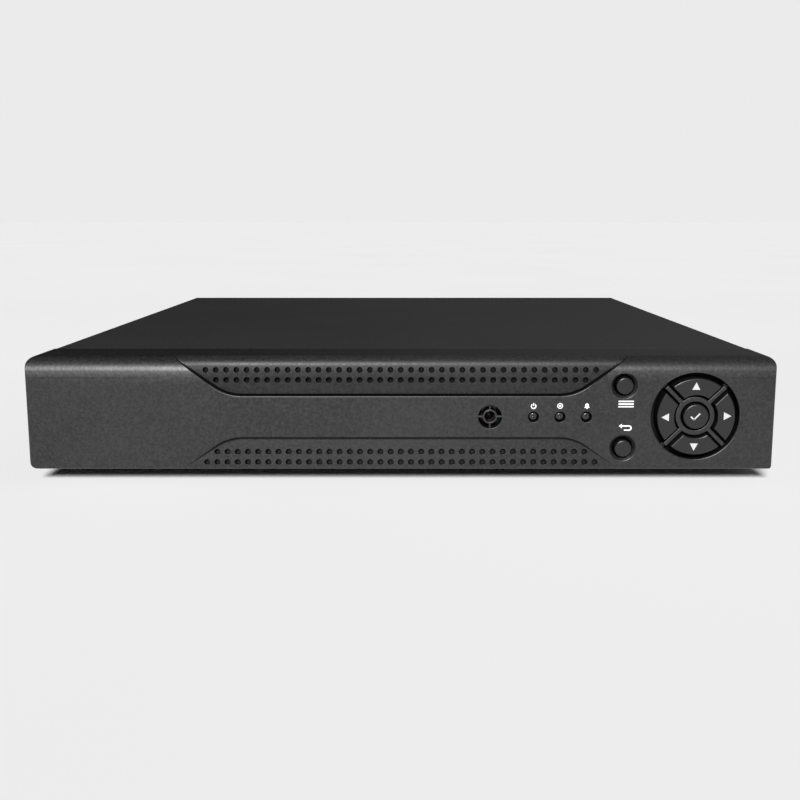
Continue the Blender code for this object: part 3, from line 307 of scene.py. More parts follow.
class Nodes:
    """A short way to write a node tree."""

    def __init__(self, owner):
        self.owner = owner
        owner.use_nodes = True
        self.tree = owner.node_tree
        self.place = self.add("ShaderNodeTexCoord").outputs["Object"]

    def add(self, kind, **values):
        """A node, with settings and inputs by name."""
        node = self.tree.nodes.new(kind)
        for key, value in values.items():
            if hasattr(node, key):
                setattr(node, key, value)
            else:
                self.put(node.inputs[key.replace("_", " ")], value)
        return node

    def put(self, socket, value):
        """Link a socket, or set its value; a colour is three numbers."""
        if isinstance(value, bpy.types.NodeSocket):
            self.tree.links.new(value, socket)
        else:
            socket.default_value = (*value, 1.0) if socket.type == "RGBA" else value

    def noise(self, scale, detail=3.0, roughness=0.5):
        """Noise in object space; the scale is in features per metre."""
        node = self.add("ShaderNodeTexNoise", Vector=self.place, Scale=scale, Detail=detail,
                        Roughness=roughness)
        return node.outputs["Fac"]

    def cells(self, scale):
        """Distance in a cell pattern in object space."""
        return self.add("ShaderNodeTexVoronoi", Vector=self.place, Scale=scale).outputs["Distance"]

    def remap(self, value, low, high, to_low=0.0, to_high=1.0):
        """A value carried from one range to another."""
        node = self.add("ShaderNodeMapRange", clamp=True)
        for name, number in (("Value", value), ("From Min", low), ("From Max", high),
                             ("To Min", to_low), ("To Max", to_high)):
            self.put(node.inputs[name], number)
        return node.outputs["Result"]

    def mix(self, factor, first, second):
        """A colour between two others."""
        node = self.add("ShaderNodeMix", data_type="RGBA")
        self.put(node.inputs["Factor"], factor)
        for name, colour in (("A", first), ("B", second)):
            self.put([s for s in node.inputs if s.name == name and s.type == "RGBA"][0], colour)
        return [s for s in node.outputs if s.type == "RGBA"][0]

    def math(self, operation, first, second):
        """One arithmetic step."""
        node = self.add("ShaderNodeMath", operation=operation)
        self.put(node.inputs[0], first)
        self.put(node.inputs[1], second)
        return node.outputs[0]

    def bump(self, height, distance, strength, under=None):
        """A bump from a height, over another bump if one is given."""
        node = self.add("ShaderNodeBump", Height=height, Distance=distance * MM, Strength=strength)
        if under:
            self.put(node.inputs["Normal"], under)
        return node.outputs["Normal"]

    def worn_edges(self, colour, worn, amount):
        """A colour that lightens along outer edges."""
        edge = self.add("ShaderNodeNewGeometry").outputs["Pointiness"]
        scuff = self.noise(700.0)
        share = self.math("MULTIPLY", self.remap(edge, 0.515, 0.60, 0.0, amount),
                          self.remap(scuff, 0.35, 0.6, 0.4))
        return self.mix(share, colour, worn)

    def finish(self, colour, roughness, **others):
        """Fill in a material's shader; the others are named after its sockets."""
        for key, value in (("Base_Color", colour), ("Roughness", roughness), *others.items()):
            self.put(self.tree.nodes["Principled BSDF"].inputs[key.replace("_", " ")], value)
        return self.owner


def grey(value, warm=0.0):
    """A neutral colour, a little warm or cool."""
    return (value * (1 + warm), value, value * (1 - warm))


def moulded_plastic(n, value, roughness, grain, depth, contrast=0.3, shine=0.5):
    """Moulded plastic with a spark-eroded grain and faint flow marks."""
    fine = n.noise(grain, roughness=0.6)
    coarse = n.noise(grain * 0.45, 2.0)
    drift = n.noise(28.0)
    speckle = n.remap(fine, 0.36, 0.64)
    patches = n.remap(coarse, 0.36, 0.64, 0.0, 0.3)
    base = n.mix(speckle, grey(value * (1 - contrast)), grey(value * (1 + contrast)))
    base = n.mix(patches, base, grey(value * (1 - contrast)))
    base = n.mix(n.remap(drift, 0.35, 0.7, 0.0, 0.3), base, grey(value * 1.35))
    base = n.worn_edges(base, grey(value * 2.2), 0.5)
    rough = n.remap(n.math("ADD", n.math("MULTIPLY", fine, 0.6), n.math("MULTIPLY", drift, 0.4)),
                    0.35, 0.65, roughness - 0.05, roughness + 0.06)
    normal = n.bump(coarse, depth * 1.8, 0.6)
    normal = n.bump(fine, depth, 0.9, normal)
    return n.finish(base, rough, Normal=normal, Specular_IOR_Level=shine)


def painted_sheet(n, value, roughness):
    """Steel under a fine textured powder coat."""
    fine = n.cells(2600.0)
    lumps = n.noise(1500.0, roughness=0.6)
    drift = n.noise(14.0)
    base = n.mix(n.remap(lumps, 0.35, 0.65), grey(value * 0.88), grey(value * 1.12))
    base = n.mix(n.remap(drift, 0.4, 0.65, 0.0, 0.3), base, grey(value * 1.25))
    base = n.worn_edges(base, grey(value * 2.5), 0.5)
    rough = n.remap(drift, 0.3, 0.7, roughness - 0.04, roughness + 0.05)
    normal = n.bump(lumps, 0.05, 0.7)
    normal = n.bump(fine, 0.02, 0.4, normal)
    return n.finish(base, rough, Normal=normal, Specular_IOR_Level=0.4)


def plated_steel(n, value, roughness, grain_scale):
    """Plated sheet with a faint grain and cloudy tarnish."""
    grain = n.noise(grain_scale)
    cloud = n.noise(45.0, detail=4.0)
    base = n.mix(n.remap(cloud, 0.35, 0.7), grey(value, 0.01), grey(value * 0.8, 0.02))
    rough = n.remap(n.math("ADD", n.math("MULTIPLY", grain, 0.5), n.math("MULTIPLY", cloud, 0.5)),
                    0.35, 0.65, roughness - 0.07, roughness + 0.08)
    return n.finish(base, rough, Metallic=1.0, Normal=n.bump(grain, 0.012, 0.5))


def soft_rubber(n):
    """Dull black rubber with dust in its pores."""
    pores = n.noise(2200.0)
    dust = n.noise(320.0)
    base = n.mix(n.remap(dust, 0.5, 0.75, 0.0, 0.6), grey(0.014), grey(0.045))
    return n.finish(base, n.remap(pores, 0.3, 0.7, 0.72, 0.9), Normal=n.bump(pores, 0.05, 0.8))


def printed_ink(n, value):
    """White pad-printed ink, slightly uneven."""
    patch = n.noise(2600.0, 2.0)
    base = n.mix(n.remap(patch, 0.3, 0.7), grey(value * 0.93), grey(value))
    return n.finish(base, n.remap(patch, 0.3, 0.7, 0.42, 0.58), Normal=n.bump(patch, 0.01, 0.5))


def clear_lens(n, tint, roughness, transmission):
    """A moulded lens."""
    haze = n.noise(900.0, 2.0)
    base = n.mix(n.remap(haze, 0.3, 0.7), tint, tuple(value * 0.85 for value in tint))
    rough = n.remap(haze, 0.3, 0.7, roughness, roughness + 0.06)
    return n.finish(base, rough, Normal=n.bump(haze, 0.01, 0.3),
                    Transmission_Weight=transmission, IOR=1.49)


def circuit_board(n):
    """Solder mask over copper tracks; the green is darker than the mask's own, as painted shade for the
    board seen behind the remote window.
    """
    tracks = n.add("ShaderNodeTexBrick", Vector=n.place, Scale=160.0)
    tracks.inputs["Mortar Size"].default_value = 0.035
    lanes = tracks.outputs["Fac"]
    patch = n.noise(120.0)
    # Very dark green: partly the board's own mask colour, partly painted shade for the part seen behind the
    # remote window.
    base = n.mix(lanes, (0.004, 0.028, 0.012), (0.007, 0.050, 0.020))
    base = n.mix(n.remap(patch, 0.45, 0.6, 0.0, 0.5), base, (0.003, 0.020, 0.009))
    return n.finish(base, n.remap(patch, 0.3, 0.7, 0.28, 0.42), Normal=n.bump(lanes, 0.03, 0.5),
                    Coat_Weight=0.3)


def cable_jacket(n, colour):
    """Extruded soft plastic."""
    patch = n.noise(500.0)
    base = n.mix(n.remap(patch, 0.3, 0.7), colour, tuple(value * 0.8 for value in colour))
    return n.finish(base, n.remap(patch, 0.3, 0.7, 0.42, 0.56), Normal=n.bump(patch, 0.03, 0.4))


MATERIAL_TABLE = {
    "panel_plastic": (moulded_plastic, 0.0115, 0.40, 1100.0, 0.040, 0.55, 0.52),
    "vent_plastic": (moulded_plastic, 0.012, 0.45, 1150.0, 0.034, 0.5, 0.28),
    # A darker copy of the panel plastic: its dark colour is painted shade on the lower dimples' floors.
    "dimple_floor": (moulded_plastic, 0.0055, 0.55, 1150.0, 0.030, 0.3, 0.24),
    # A darker, rougher, less shiny copy of the panel plastic: its dark colour is painted shade in deep
    # walls, dimples and the keys' hollows.
    "panel_hollows": (moulded_plastic, 0.004, 0.60, 1150.0, 0.040, 0.3, 0.10),
    "key_plastic": (moulded_plastic, 0.008, 0.34, 2400.0, 0.012, 0.15),
    "painted_steel": (painted_sheet, 0.0165, 0.56),
    "rubber": (soft_rubber,),
    "ink": (printed_ink, 0.80),
    "key_ink": (printed_ink, 0.50),
    "lamp_plastic": (clear_lens, (0.05, 0.05, 0.048), 0.16, 0.2),
    "remote_lens": (clear_lens, (0.012, 0.008, 0.010), 0.10, 0.0),
    "board_green": (circuit_board,),
    "black_plastic": (moulded_plastic, 0.012, 0.40, 2600.0, 0.012, 0.15),
    "nickel": (plated_steel, 0.80, 0.30, 500.0),
    "screw_steel": (plated_steel, 0.30, 0.32, 700.0),
    "aluminium": (plated_steel, 0.58, 0.40, 300.0),
    "cable_red": (cable_jacket, (0.30, 0.020, 0.018)),
    "cable_grey": (cable_jacket, (0.16, 0.16, 0.165)),
}
MATERIALS = {}
for material_name, (maker, *maker_values) in MATERIAL_TABLE.items():
    material = bpy.data.materials.new(material_name)
    MATERIALS[material_name] = maker(Nodes(material), *maker_values)


# Front panel

TOP_FILLET = 6.0
EASE_RADIUS = 18.0
EASE_TURN = 12.0
BOTTOM_FILLET = 0.9
TOP_CORNER = 2.6
LEFT_CORNER = 3.4
RIGHT_CORNER = 1.8
PLAN_CORNER = 1.3
PANEL_WALL = 2.0
RECESS = 2.0
RECESS_FOOT = 0.3
RECESS_LIP = 0.35
GROOVE_WIDTH = 0.5
GROOVE_DEPTH = 0.7
VENT_EDGE = 7.2
VENT_HALF = 54.0
VENT_BEND = 16.0
VENT_SLOPE = 35.0
DIMPLE_PITCH = 3.5
DIMPLE_RADIUS = 1.0
DIMPLE_DEPTH = 1.5
DIMPLE_ROWS = ((12.4, 37), (15.9, 39))

PAD_HOLE = 15.0
RING_OUTER = 6.7
RING_INNER = 4.95
SPOKE_WIDTH = 1.5
SPOKE_GAP = 0.7
SPOKE_END = 14.2
FRAME_DROP = 0.2
SPOKE_STEP = 1.8
SMALL_HOLE = 3.6
SMALL_SINK = 4.6
LAMPS = ("lamp_power", "lamp_record", "lamp_alarm")
LAMP_HOLE = 1.85
REMOTE_HOLE = 4.0
WINDOW_OUTER = 2.5
WINDOW_INNER = 1.85
WINDOW_DROP = 0.5
WINDOW_DEPTH = 1.5
PAD_X, PAD_Z = centre_of("key_ok")
REMOTE_X = centre_of("remote_receiver")[0]


def vent_outline(side, grow):
    """Outline of a vent field, grown outwards by a margin; side is 1 above and -1 below."""
    half = [(VENT_HALF, VENT_EDGE - grow)]
    bend = arc(VENT_HALF, VENT_EDGE + VENT_BEND, VENT_BEND + grow, -90.0, -90.0 + VENT_SLOPE, 14)
    half += bend[1:]
    last_x, last_z = half[-1]
    far_z = TOP_Z / 2 + 2.0
    half.append((last_x + (far_z - last_z) / math.tan(math.radians(VENT_SLOPE)), far_z))
    right = [(x, MIDDLE_Z + side * z) for x, z in half]
    left = [(-x, z) for x, z in reversed(right)]
    return right + left


def panel_section(front_y, fillet):
    """Outline of the panel in Y and Z, easing from its top fillet to its face."""
    turn = math.radians(EASE_TURN)
    ease = fillet + EASE_RADIUS
    centre_y = front_y + ease * (1 - math.cos(turn)) + fillet * math.cos(turn)
    ease_z = TOP_Z - fillet + math.sin(turn) * (fillet - ease)
    points = [(PANEL_BACK_Y, BASE_Z), (PANEL_BACK_Y, TOP_Z)]
    points += arc(centre_y, TOP_Z - fillet, fillet, 90, 180 - EASE_TURN, 20)
    points += arc(front_y + ease, ease_z, ease, 180 - EASE_TURN, 180, 6)[1:]
    points += arc(front_y + BOTTOM_FILLET, BASE_Z + BOTTOM_FILLET, BOTTOM_FILLET, 180, 270, 5)
    return points


def lower_floor():
    """Outline in Y and Z of the lower vent's face, which leans forward to the foot."""
    foot_y = FRONT_Y + RECESS_FOOT
    high_y = FRONT_Y + RECESS
    return [(PANEL_BACK_Y, BASE_Z - PAST), (PANEL_BACK_Y, MIDDLE_Z), (high_y, MIDDLE_Z),
            (high_y, MIDDLE_Z - VENT_EDGE), (foot_y + 0.12, BASE_Z + 2 * BOTTOM_FILLET),
            (foot_y, BASE_Z + 1.2 * BOTTOM_FILLET), (foot_y - 0.02, BASE_Z - PAST)]


def vent_depth(side, offset):
    """Depth of a vent field's face at a distance from the panel's middle."""
    if side > 0:
        return RECESS
    reach = MIDDLE_Z - BASE_Z - BOTTOM_FILLET - VENT_EDGE
    return RECESS + (RECESS_FOOT - RECESS) * (offset - VENT_EDGE) / reach


def groove_tool():
    """The fine groove along the edge of the upper vent field."""
    outer = vent_outline(1, 0.0)
    inner = vent_outline(1, -GROOVE_WIDTH)
    half_count = len(outer) // 2
    band = outer[half_count:] + outer[:half_count]
    band += (inner[half_count:] + inner[:half_count])[::-1]
    tool = prism("groove", band, "Y", FRONT_Y, FRONT_Y + TOP_FILLET + RECESS)
    deep = RECESS + GROOVE_DEPTH
    half = PANEL_HIGH.x + PAST
    cut(tool, prism("core", panel_section(FRONT_Y + deep, TOP_FILLET - deep), "X", -half, half))
    return tool


def vent_tool(side):
    """The material in front of a vent field, with a rounded lip at its mouth."""
    outlines = [vent_outline(side, RECESS_LIP)]
    levels = [FRONT_Y - RECESS]
    for across, along in quarter(6):
        outlines.append(vent_outline(side, RECESS_LIP * (1 - across)))
        levels.append(FRONT_Y + RECESS_LIP * along)
    outlines.append(vent_outline(side, 0.0))
    levels.append(FRONT_Y + TOP_FILLET + RECESS)
    bm = bmesh.new()
    add_loft(bm, outlines, "Y", levels)
    tool = to_object(bm, "tool")
    core = lower_floor()
    if side > 0:
        core = panel_section(FRONT_Y + RECESS, TOP_FILLET - RECESS)
    half = PANEL_HIGH.x + 2 * RECESS
    cut(tool, prism("core", core, "X", -half, half))
    return tool


def dimple_tool():
    """Every dimple, each with a softened rim and floor."""
    radius = DIMPLE_RADIUS
    bm = bmesh.new()
    for side in (1, -1):
        for offset, count in DIMPLE_ROWS:
            face_y = FRONT_Y + vent_depth(side, offset)
            floor_y = face_y + DIMPLE_DEPTH
            profile = [(0.0, face_y - PAST), (radius + 0.12, face_y - PAST), (radius + 0.12, face_y),
                       (radius + 0.03, face_y + 0.04), (radius, face_y + 0.12),
                       (radius - 0.04, floor_y - 0.25), (radius - 0.25, floor_y - 0.04), (0.0, floor_y)]
            for x in spread(count, DIMPLE_PITCH):
                add_turned(bm, profile, (x, MIDDLE_Z + side * offset), 18)
    return to_object(bm, "tool")


def hole_tool(x, z, radius, lip, sides):
    """A round hole through the face with a rounded rim."""
    profile = [(0.0, FRONT_Y - PAST), (radius + lip, FRONT_Y - PAST)]
    profile += [(radius + lip * (1 - across), FRONT_Y + lip * along) for across, along in quarter(5)]
    profile += [(radius, INNER_Y + PAST), (0.0, INNER_Y + PAST)]
    return turned("tool", profile, (x, z), sides)


def countersunk_tool(x, z):
    """A key's hole with its funnel."""
    soft = 0.15
    profile = [(0.0, FRONT_Y - PAST), (SMALL_SINK + soft, FRONT_Y - PAST), (SMALL_SINK + soft, FRONT_Y),
               (SMALL_SINK - soft, FRONT_Y + soft), (SMALL_HOLE + soft, FRONT_Y + 0.9),
               (SMALL_HOLE, FRONT_Y + 1.1), (SMALL_HOLE, INNER_Y + PAST), (0.0, INNER_Y + PAST)]
    return turned("tool", profile, (x, z), 48)


def soft_ring(x, z, outer, inner, low, high, edge):
    """A flat ring across Y with softened front edges."""
    part = edge * 0.3
    profile = [(outer - edge, low), (outer - part, low + part), (outer, low + edge), (outer, high),
               (inner, high), (inner, low + edge), (inner + part, low + part), (inner + edge, low)]
    return turned("ring", profile, (x, z), 64, ring=True)


def radial_bar(x, z, profile, width, angle, edge):
    """A bar along a radius: a profile in radius and Y, turned round a centre."""
    item = prism("bar", profile, "Z", -width / 2, width / 2)
    round_front(item, min(y for _, y in profile), edge, 2, False)
    turn = Matrix.Rotation(math.radians(angle), 4, "Y")
    item.data.transform(Matrix.Translation((x * MM, 0.0, z * MM)) @ turn)
    return item


def pad_frame(panel):
    """The ring round the OK key and its four stepped spokes."""
    top_y = FRONT_Y + FRAME_DROP
    join(panel, soft_ring(PAD_X, PAD_Z, RING_OUTER, RING_INNER, top_y, INNER_Y, 0.35))
    inner = (RING_OUTER + RING_INNER) / 2
    outer = PAD_HOLE + 1.0
    step_y = FRONT_Y + SPOKE_STEP
    foot_y = INNER_Y - 0.1
    spoke_y = top_y + 0.05
    profile = [(inner, spoke_y), (SPOKE_END, spoke_y), (SPOKE_END, step_y), (outer, step_y),
               (outer, foot_y), (inner, foot_y)]
    for angle in (45, 135, 225, 315):
        join(panel, radial_bar(PAD_X, PAD_Z, profile, SPOKE_WIDTH, angle, 0.3))


def remote_window(panel):
    """The ring and four bridges in front of the remote control receiver."""
    low = FRONT_Y + WINDOW_DROP
    high = low + WINDOW_DEPTH
    ring = soft_ring(REMOTE_X, MIDDLE_Z, WINDOW_OUTER, WINDOW_INNER, low, high, 0.15)
    profile = rectangle(2.2, low + 0.1, REMOTE_HOLE + 0.5, high - 0.1)
    for angle in (0, 90, 180, 270):
        join(ring, radial_bar(REMOTE_X, MIDDLE_Z, profile, 0.6, angle, 0.12))
    join(panel, ring)


def snap_arm(side):
    """An arm behind the face whose hook catches the tray's front wall."""
    start_y = INNER_Y - PAST
    end_y = PANEL_HIGH.y
    hook_y = end_y - 3.5
    inner = 121.0
    thick = 1.5
    profile = [(inner, start_y), (inner + thick, start_y), (inner + thick, hook_y)]
    profile += [(inner + 2 * thick, hook_y), (inner + thick, end_y), (inner, end_y)]
    return prism("arm", [(side * x, y) for x, y in profile], "Z", 18.0, 30.0)


def in_vent(x, z):
    """True inside the upper vent field."""
    rise = z - MIDDLE_Z
    turn = math.radians(VENT_SLOPE)
    bend_x = VENT_HALF + VENT_BEND * math.sin(turn)
    bend_z = VENT_EDGE + VENT_BEND * (1 - math.cos(turn))
    return rise > VENT_EDGE and abs(x) < bend_x + (rise - bend_z) / math.tan(turn)


def paint_hollow_shade(panel):
    """Paint shade into deep walls and dimples with a dark material, and a less dark one on the lower
    dimples' floors, and give the vents' faces a rougher finish.
    """
    for finish in ("panel_hollows", "vent_plastic", "dimple_floor"):
        panel.data.materials.append(MATERIALS[finish])
    for face in panel.data.polygons:
        x, y, z = face.center / MM
        depth = y - FRONT_Y
        inside = abs(x) > PANEL_HIGH.x - PANEL_WALL or z < BASE_Z + PANEL_WALL / 2
        if inside or y > INNER_Y - 0.1:
            continue
        fillet = z > TOP_Z - TOP_FILLET + RECESS and abs(face.normal.x) < 0.3
        above = in_vent(x, z)
        # Deep faces of the upper vent's dimples get painted shade.
        if above and not fillet and depth > RECESS + DIMPLE_DEPTH / 3:
            face.material_index = 1
        elif above and face.normal.z < 0.98 and depth > RECESS - 0.1:
            face.material_index = 2
        elif z < MIDDLE_Z - VENT_EDGE and abs(x) < VENT_HALF + VENT_BEND and depth > RECESS_LIP:
            # The lower dimples' floors get painted shade; the rest of the lower vent's face only gets the
            # rougher finish.
            in_dimple = depth > vent_depth(-1, MIDDLE_Z - z) + DIMPLE_DEPTH / 3
            face.material_index = 3 if in_dimple else 2
        # Side walls of the recesses, the groove and the dimples get painted shade.
        if not fillet and abs(face.normal.y) < 0.5 and depth > RECESS_LIP:
            face.material_index = 1


def make_panel():
    """The moulded front panel."""
    half = PANEL_HIGH.x
    panel = prism("panel_shell", panel_section(FRONT_Y, TOP_FILLET), "X", -half, half)
    radii = (LEFT_CORNER, RIGHT_CORNER, TOP_CORNER, TOP_CORNER)
    face = rounded_rectangle((-half, BASE_Z), (half, TOP_Z), radii, (10, 8, 8, 8))
    combine(panel, prism("face", face, "Y", FRONT_Y - PAST, PANEL_BACK_Y + PAST), "INTERSECT")
    plan = even_rectangle((-half, FRONT_Y), (half, PANEL_BACK_Y), PLAN_CORNER, 0.3, 6)
    combine(panel, prism("plan", plan, "Z", BASE_Z - PAST, TOP_Z + PAST), "INTERSECT")
    cut(panel, vent_tool(1), vent_tool(-1), groove_tool(), dimple_tool())
    low = (-half + PANEL_WALL, INNER_Y, BASE_Z + PANEL_WALL)
    cut(panel, block("inside", low, (half - PANEL_WALL, PANEL_BACK_Y + PAST, TOP_Z - PANEL_WALL)))
    cut(panel, hole_tool(PAD_X, PAD_Z, PAD_HOLE, 0.5, 96))
    cut(panel, hole_tool(REMOTE_X, MIDDLE_Z, REMOTE_HOLE, 0.25, 48))
    for node in LAMPS:
        cut(panel, hole_tool(*centre_of(node), LAMP_HOLE, 0.2, 32))
    for node in ("key_menu", "key_esc"):
        cut(panel, countersunk_tool(*centre_of(node)))
    pad_frame(panel)
    remote_window(panel)
    for x in (26.0, 114.5):
        for z in (9.5, 37.3):
            post = circle(x, z, 2.5, 16)
            join(panel, prism("post", post, "Y", INNER_Y - PAST, BOARD_FRONT_Y - 0.3))
    join(panel, snap_arm(-1), snap_arm(1))
    dress(panel, "panel_plastic", "front_panel")
    paint_hollow_shade(panel)


# Keys

ARROWS = {"right": 0, "up": 90, "left": 180, "down": 270}
ARROW_OUTER = 13.2
ARROW_INNER = 7.4
ARROW_SHOULDER = 0.6
OK_RADIUS = 4.3
SMALL_RADIUS = 2.9
KEY_FACE_Y = box("key_ok")[0].y + 2 * INK_PROUD
FLANGE_FRONT_Y = INNER_Y + 0.3
FLANGE_BACK_Y = box("key_ok")[1].y
FLANGE_RIM = 0.8
# Depth behind the panel face past which a key's faces get painted shade.
KEY_DEEP = 1.0


def sector_outline(direction, inner, outer, offset, steps):
    """A ring sector between two diagonals, pulled back from them by an offset."""
    spread_outer = 45.0 - math.degrees(math.asin(offset / outer))
    spread_inner = 45.0 - math.degrees(math.asin(offset / inner))
    points = arc(PAD_X, PAD_Z, outer, direction - spread_outer, direction + spread_outer, steps)
    points += arc(PAD_X, PAD_Z, inner, direction + spread_inner, direction - spread_inner, steps)
    return points


def dress_key(key, node):
    """Dress a key, with painted shade, a darker material, on the parts that lie deep in its hole."""
    dress(key, "key_plastic", node, node)
    key.data.materials.append(MATERIALS["panel_hollows"])
    # Faces deep in the hole and the key's side walls get painted shade.
    for face in key.data.polygons:
        depth = face.center.y / MM - FRONT_Y
        if depth > KEY_DEEP or (abs(face.normal.y) < 0.3 and depth > -0.2):
            face.material_index = 1


def make_arrow_key(name, direction):
    """One arrow key with rounded shoulders and its flange."""
    offset = SPOKE_WIDTH / 2 + SPOKE_GAP
    shape = sector_outline(direction, ARROW_INNER, ARROW_OUTER, offset, 24)
    key = prism("arrow_" + name, shape, "Y", KEY_FACE_Y, FLANGE_BACK_Y)
    round_front(key, KEY_FACE_Y, ARROW_SHOULDER, 5, True)
    shape = sector_outline(direction, ARROW_INNER - FLANGE_RIM, PAD_HOLE + FLANGE_RIM,
                           offset - FLANGE_RIM, 24)
    join(key, prism("flange", shape, "Y", FLANGE_FRONT_Y, FLANGE_BACK_Y - 0.05))
    dress_key(key, "key_" + name)


def make_round_key(name, radius, hole, crown):
    """One round key with a crowned face, a rounded shoulder and a flange."""
    shoulder = 0.55
    flat = radius - shoulder
    rim = hole + FLANGE_RIM
    profile = [(flat * step / 4, KEY_FACE_Y + crown * (step / 4) ** 2) for step in range(5)]
    for across, along in quarter(5)[1:]:
        profile.append((flat + shoulder * across, KEY_FACE_Y + crown + shoulder * along))
    profile += [(radius, FLANGE_FRONT_Y), (rim, FLANGE_FRONT_Y), (rim, FLANGE_BACK_Y), (0.0, FLANGE_BACK_Y)]
    key = turned("round_" + name, profile, centre_of("key_" + name), 64)
    dress_key(key, "key_" + name)


# Printed marks: arrows and plain pictograms

def ink_piece(name, bm, body=CASE, ink="ink"):
    """A printed mark as a piece of its own."""
    item = to_object(bm, name)
    item.data.materials.append(MATERIALS[ink])
    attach(item, body)


def mark(name, outlines, face_y, body=CASE, ink="ink"):
    """A thin layer of ink in the shape of some outlines in X and Z."""
    bm = bmesh.new()
    for outline in outlines:
        add_prism(bm, outline, "Y", face_y - INK_PROUD, face_y + 2 * INK_PROUD)
    ink_piece(name, bm, body, ink)


def bar(x1, z1, x2, z2, width):
    """A straight stroke."""
    along = (Vector((x2, z2)) - Vector((x1, z1))).normalized()
    across = Vector((-along.y, along.x)) * width / 2
    start = Vector((x1, z1))
    end = Vector((x2, z2))
    return [tuple(start - across), tuple(end - across), tuple(end + across), tuple(start + across)]


def hoop(x, z, radius, start, end, width, steps=24):
    """A curved stroke."""
    points = arc(x, z, radius + width / 2, start, end, steps)
    return points + arc(x, z, radius - width / 2, end, start, steps)


def triangle_mark(name, direction):
    """The arrow on an arrow key, printed a little off the pad's centre."""
    dx = round(math.cos(math.radians(direction)))
    dz = round(math.sin(math.radians(direction)))
    x = PAD_X - 0.45 * abs(dz)
    z = PAD_Z + 0.05 + 0.22 * dx
    tip = 11.85
    base = 9.3
    outline = [(x + dx * tip, z + dz * tip)]
    for side in (1.35, -1.35):
        outline.append((x + dx * base - dz * side, z + dz * base + dx * side))
    mark("arrow_mark_" + name, [outline], KEY_FACE_Y, "key_" + name, "key_ink")


def lamp_marks():
    """A power sign, a record sign and a bell over the three lamps."""
    z = MIDDLE_Z + 3.85
    stroke = 0.36
    x = centre_of("lamp_power")[0] - 0.05
    mark("power_sign", [hoop(x, z - 0.1, 0.78, 125, 415, stroke), bar(x, z, x, z + 1.0, stroke)], FRONT_Y)
    x = centre_of("lamp_record")[0] - 0.05
    bm = bmesh.new()
    levels = (FRONT_Y - INK_PROUD, FRONT_Y + INK_PROUD)
    radius = 0.98
    profile = rectangle(radius - stroke * 0.8, levels[0], radius, levels[1])
    add_turned(bm, profile, (x, z), 40, ring=True)
    add_prism(bm, circle(x, z, 0.42, 24), "Y", *levels)
    ink_piece("record_sign", bm)
    x = centre_of("lamp_alarm")[0] + 0.1
    bell = arc(x, z + 0.25, 0.62, 0, 180, 14)
    bell += [(x - 0.66, z - 0.35), (x - 1.0, z - 0.68), (x + 1.0, z - 0.68), (x + 0.66, z - 0.35)]
    mark("alarm_sign", [bell, arc(x, z - 0.76, 0.30, 180, 360, 8)], FRONT_Y)


def key_signs():
    """Bars for the menu key, a return arrow for the way back and a tick for the middle key."""
    stroke = 0.46
    x, z = centre_of("key_menu")
    x += 0.65
    rows = [z - 6.35 + place for place in spread(3, 0.92)]
    mark("menu_sign", [bar(x - 2.6, row, x + 2.6, row, stroke) for row in rows], FRONT_Y)
    x, z = centre_of("key_esc")
    x += 0.7
    z += 7.0
    radius = 0.72
    top = z + radius
    head = [(x - 2.3, top), (x - 1.2, top + 0.8), (x - 1.2, top - 0.8)]
    shaft = bar(x - 1.25, top, x + 1.2, top, stroke)
    tail = hoop(x + 1.2, z, radius, 90, -90, stroke)
    foot = bar(x - 0.5, z - radius, x + 1.2, z - radius, stroke)
    mark("return_sign", [head, shaft, tail, foot], FRONT_Y)
    x = PAD_X - 0.35
    z = PAD_Z
    tick = bar(x - 1.5, z + 0.1, x - 0.3, z - 1.15, 0.5)
    rise = bar(x - 0.57, z - 1.12, x + 1.6, z + 1.15, 0.5)
    mark("tick_sign", [tick, rise], KEY_FACE_Y, "key_ok", "key_ink")


# Lamps and remote control receiver

def make_lamp(node):
    """A lamp: a moulded lens with a dished tip, on its seat."""
    low, high = box(node)
    radius = LAMP_HOLE - 0.55
    tip = low.y + 0.3
    seat_y = INNER_Y + 0.3
    seat = (high.x - low.x) / 2
    profile = [(0.0, tip + 0.9), (0.2 * radius, tip + 0.8), (0.4 * radius, tip + 0.2)]
    profile += arc(0.5 * radius, tip + 0.5 * radius, 0.5 * radius, -90, 0, 6)
    profile += [(radius, seat_y), (seat, seat_y), (seat, high.y), (0.0, high.y)]
    lens = turned("lens_of_" + node, profile, centre_of(node), 40)
    dress(lens, "lamp_plastic", node)


def make_receiver():
    """The remote control receiver: a moulded block with a domed lens."""
    low, high = box("remote_receiver")
    lens = 2.2
    front = low.y + lens
    body = block("receiver_body", (low.x, front, low.z), high)
    round_edges(body, 0.3)
    settle(body)
    profile = [(lens * across, low.y + lens * along) for across, along in quarter(9)]
    profile += [(lens, front + PAST), (0.0, front + PAST)]
    join(body, turned("lens", profile, (REMOTE_X, MIDDLE_Z), 40))
    dress(body, "remote_lens", "remote_receiver")


# Steel case

SHEET = 1.0
COVER_BEND = 1.6
SLOT_COUNT = 14
SLOT_PITCH = 6.0
SLOT_HALF = 1.1
SLOT_Z = (20.0, 33.0)
SCREW_HOLE = 1.7
SIDE_SCREWS = ("side_screw_left_front", "side_screw_left_rear",
               "side_screw_right_front", "side_screw_right_rear")
REAR_SCREWS = ("rear_screw_left", "rear_screw_right")
REAR_LIP_Z = 34.5


def centre_yz(node):
    """Middle of a CAD node in Y and Z."""
    low, high = box(node)
    return (low.y + high.y) / 2, (low.z + high.z) / 2


